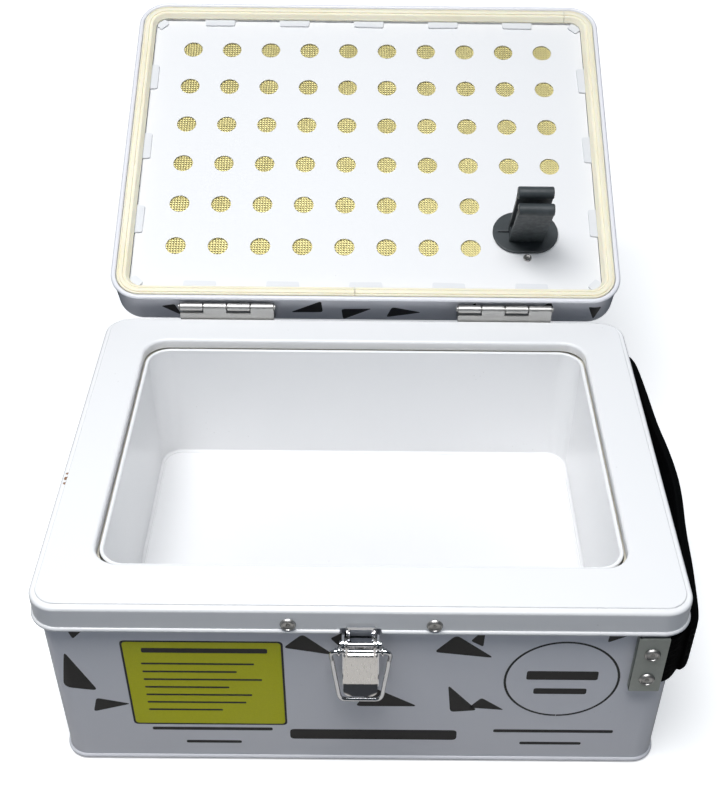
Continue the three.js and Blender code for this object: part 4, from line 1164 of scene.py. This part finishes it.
def add_seal():
    """Moulded seal with a stepped face, butt-jointed at the hinge side."""
    low = box_mm("lid_seal", closed=True)[0].z
    section = [(-2, low + 5), (-2, low + 0.7), (-2.5, low + 0.25), (-2.9, low + 0.2), (-3.05, low + 0.75),
               (-3.3, low + 0.75), (-3.45, low + 0.1), (-4.1, low), (-5.0, low), (-5.5, low + 0.2),
               (-5.7, low + 0.9), (-6.0, low + 0.9), (-6.2, low + 0.5), (-7.2, low + 0.6), (-7.7, low + 1.1),
               (-8.1, low + 2.2)]
    section += [(-PANEL_EDGE, low + 3.2), (-PANEL_EDGE, low + 4.1), (-7.4, low + 4.1), (-7.4, low + 5)]
    bm = bmesh.new()
    sheet(bm, on(LID, section))
    seal = piece("seal_ring", bm, SEAL, "lid", ["lid_seal"], "cream_seal")
    tool = bmesh.new()
    extrude(tool, [(-6.1, low - 2), (-5.85, low - 2), (-5.7, low + 8), (-6.0, low + 8)],
            LID.half_y - PANEL_EDGE - 2, LID.half_y, along_y)
    extrude(tool, [(LID.half_x - 19.2, low - 2), (LID.half_x - 18.95, low - 2), (LID.half_x - 18.9, low + 8),
                   (LID.half_x - 19.2, low + 8)], -LID.half_y, -LID.half_y + PANEL_EDGE + 2, along_y)
    cut_away(seal, new_object("joint", tool, "lid"))


def flap(bm, start_x, end_x, root, bead, bead_radius):
    """A rubber flap: thin sheet that curves from its root to a round bead."""
    (root_y, root_z), (bead_y, bead_z) = root, bead
    path = bezier(Vector((root_y, root_z)), Vector((root_y + 1.5, root_z - 12)),
                  Vector((bead_y - 1.0, bead_z + 14)), Vector((bead_y, bead_z)), 14)
    front, back = [], []
    for index, point in enumerate(path):
        share = index / (len(path) - 1)
        half = 1.5 - 0.5 * math.sin(math.pi * share)
        front.append((point.x - half, point.y))
        back.append((point.x + half, point.y))
    extrude(bm, front + back[::-1], start_x, end_x, along_x)
    rod_x(bm, bead_radius, start_x, end_x, bead_y, bead_z, 0.5)


def add_gland():
    """Rubber cable gland: flange inside and outside, slotted neck, and two beaded flaps."""
    top = PANEL_LOW - 0.3
    bottom = top - 1.8
    bm = bmesh.new()
    slit = [(GLAND_X - GLAND_HALF_X + 3.2, GLAND_Y - 0.25), (GLAND_X - 9.5, GLAND_Y - 0.25),
            (GLAND_X - 9.5, GLAND_Y + 0.25), (GLAND_X - GLAND_HALF_X + 3.2, GLAND_Y + 0.25)]
    inner = [stadium(GLAND_X, GLAND_Y, GLAND_HALF_X, GLAND_HALF_Y, 28), slit]
    filled_plate(bm, inner, bottom, top, 0.6)
    filled_plate(bm, [stadium(GLAND_X, GLAND_Y, *NECK, 24)], top - 0.1, GLAND_HIGH.z - 1.7, 0.02)
    outer = [stadium(GLAND_X, GLAND_Y, GLAND_HALF_X, GLAND_HALF_Y, 28)]
    slot = rounded_polygon([(GLAND_X - 8.2, GLAND_Y + 1), (GLAND_X + 8.2, GLAND_Y + 1),
                            (GLAND_X + 8.2, GLAND_Y + 3), (GLAND_X - 8.2, GLAND_Y + 3)], 0.7)
    filled_plate(bm, outer + [slot], GLAND_HIGH.z - 1.8, GLAND_HIGH.z, 0.6)
    start, end = GLAND_X - 9.7, GLAND_X + 9.7
    root = bottom + 0.5
    web = [(GLAND_Y - 3.4, root), (GLAND_Y + 6.6, root), (GLAND_Y + 7.6, root - 6), (GLAND_Y - 2.2, root - 6)]
    shoulder = bmesh.new()
    extrude(shoulder, web, start + 0.2, end - 0.2, along_x)
    soften_edges(shoulder, 0.8)
    holder = bpy.data.meshes.new("shoulder")
    shoulder.to_mesh(holder)
    shoulder.free()
    bm.from_mesh(holder)
    flap(bm, start, end, (GLAND_Y + 5.2, root), (GLAND_Y + 16, bottom - 43.5), 3.4)
    flap(bm, start, end, (GLAND_Y - 2.1, root), (GLAND_Y + 6, bottom - 45), 3.4)
    piece("cable_gland", bm, RUBBER, "lid", ["cable_grommet"], "black_rubber")

    low, high = box_mm("grommet_rivet", closed=True)
    centre_x, centre_y = (low.x + high.x) / 2, (low.y + high.y) / 2
    bm = bmesh.new()
    lathe(bm, rivet_profile(2.4, 0.8, 1.1, high.z - low.z - 0.8),
          lambda a, b, along: (centre_x + a, centre_y + b, low.z + 0.8 - along))
    piece("gland_rivet_head", bm, ZINC, "lid", ["grommet_rivet"], "zinc")


def finish_hidden_nodes():
    """CAD nodes that stay as they are, with their own materials."""
    kept = {"flame_mesh": (CLOTH, "brass_wire"), "filter_pad": (BOARD, "mineral_board"),
            "wall_insulation": (BOARD, "mineral_board"), "floor_insulation": (BOARD, "mineral_board")}
    for name, (material, slot) in kept.items():
        cad_node = frame["nodes"][name]
        cad_node.data.materials.clear()
        cad_node.data.materials.append(material)


# ---------------------------------------------------------------- stage

def add_floor():
    bm = bmesh.new()
    bmesh.ops.create_grid(bm, x_segments=8, y_segments=8, size=6000)
    floor = new_object("floor", bm, "box")
    material, tree, place = start_material("pale_floor")
    grain = noise(tree, place, 40, 2)
    pale = mixed(tree, grain, rgb(0.93, 0.93, 0.93), rgb(0.95, 0.95, 0.95))
    seen = node(tree, "ShaderNodeLightPath").outputs["Is Camera Ray"]
    away = node(tree, "ShaderNodeVectorMath", {"operation": "LENGTH"}, {0: place}).outputs["Value"]
    far = remap(tree, away, 0.24, 0.33, 0, 1)
    mirrored = node(tree, "ShaderNodeLightPath").outputs["Is Glossy Ray"]
    lit_card = mixed(tree, far, rgb(0.25, 0.245, 0.25), rgb(0.13, 0.155, 0.20))
    mirrored_card = mixed(tree, far, rgb(0.52, 0.50, 0.48), rgb(0.02, 0.023, 0.03))
    unseen = mixed(tree, mirrored, lit_card, mirrored_card)
    base = mixed(tree, seen, unseen, pale)
    floor.data.materials.append(end_material(material, tree, {
        "Base Color": base, "Roughness": 0.8, "Emission Color": rgb(1, 1, 1),
        "Emission Strength": math_node(tree, "MULTIPLY", seen, remap(tree, away, 0.3, 0.9, 0.42, 1.0)),
    }))
    floor.location.z = -0.0002


def add_light(name, place, target, size, power, colour):
    data = bpy.data.lights.new(name, "AREA")
    data.shape = "RECTANGLE"
    data.size, data.size_y = size
    data.energy = power
    data.color = colour
    lamp = bpy.data.objects.new(name, data)
    lamp.location = place
    lamp.rotation_euler = (Vector(target) - Vector(place)).to_track_quat("-Z", "Y").to_euler()
    bpy.context.scene.collection.objects.link(lamp)


def add_lights():
    """A broad soft light overhead, weak cool ones front and rear, and a white surround."""
    add_light("overhead", (-0.12, -0.22, 1.05), (0, 0, 0), (0.8, 0.45), 11.3, (0.985, 0.99, 1.0))
    add_light("front_fill", (-0.4, -1.5, 0.8), (0, 0, 0.05), (0.7, 0.5), 0.25, (0.80, 0.90, 1.0))
    add_light("rear_fill", (0.5, 1.6, 0.7), (0, 0, 0.05), (0.8, 0.6), 2.5, (0.85, 0.92, 1.0))
    world = bpy.data.worlds.new("surround")
    world.use_nodes = True
    tree = world.node_tree
    tree.nodes.clear()
    seen = node(tree, "ShaderNodeBackground", None, {"Color": rgb(1, 1, 1), "Strength": 1.1})
    lit = node(tree, "ShaderNodeBackground", None, {"Color": rgb(0.70, 0.84, 1.0), "Strength": 0.17})
    room = node(tree, "ShaderNodeBackground", None, {"Color": rgb(0.70, 0.84, 1.0), "Strength": 0.05})
    path = node(tree, "ShaderNodeLightPath").outputs
    unseen = node(tree, "ShaderNodeMixShader", None, {0: path["Is Glossy Ray"], 1: lit.outputs[0],
                                                      2: room.outputs[0]})
    both = node(tree, "ShaderNodeMixShader", None, {0: path["Is Camera Ray"], 1: unseen.outputs[0],
                                                    2: seen.outputs[0]})
    node(tree, "ShaderNodeOutputWorld", None, {"Surface": both.outputs[0]})
    bpy.context.scene.world = world


def add_camera():
    """Looks down at the front from just over half a metre, a little off level."""
    down, yaw, roll = 0.6956059, 0.0060788, 0.0128076
    level = Matrix(((1, 0, 0), (0, -math.sin(down), -math.cos(down)), (0, math.cos(down), -math.sin(down))))
    view = Matrix.Rotation(roll, 3, "Z") @ level @ Matrix.Rotation(yaw, 3, "Z")
    right, below, ahead = view
    turn = Matrix((right, -below, -ahead)).transposed().to_4x4()
    data = bpy.data.cameras.new("view")
    data.lens = 55.62
    data.sensor_width = 36.0
    data.shift_x, data.shift_y = -0.0151, 0.0531
    camera = bpy.data.objects.new("view", data)
    camera.matrix_world = Matrix.Translation((0.00328, -0.45333, 0.49217)) @ turn
    data.clip_start, data.clip_end = 0.01, 60
    bpy.context.scene.collection.objects.link(camera)
    bpy.context.scene.camera = camera


# ---------------------------------------------------------------- assembly

add_wall()
add_pan()
add_tub()
add_collar()
add_rivets()
add_front_print()
add_wall_print()
add_brackets()
add_strap()
add_hinges()
add_latch_base()
add_lever()
add_bail()
add_catch()
add_lid_pan()
add_lid_print()
add_tray()
add_panel()
add_seal()
add_gland()
finish_hidden_nodes()
add_floor()
add_lights()
add_camera()
bpy.context.scene.view_settings.view_transform = "Standard"
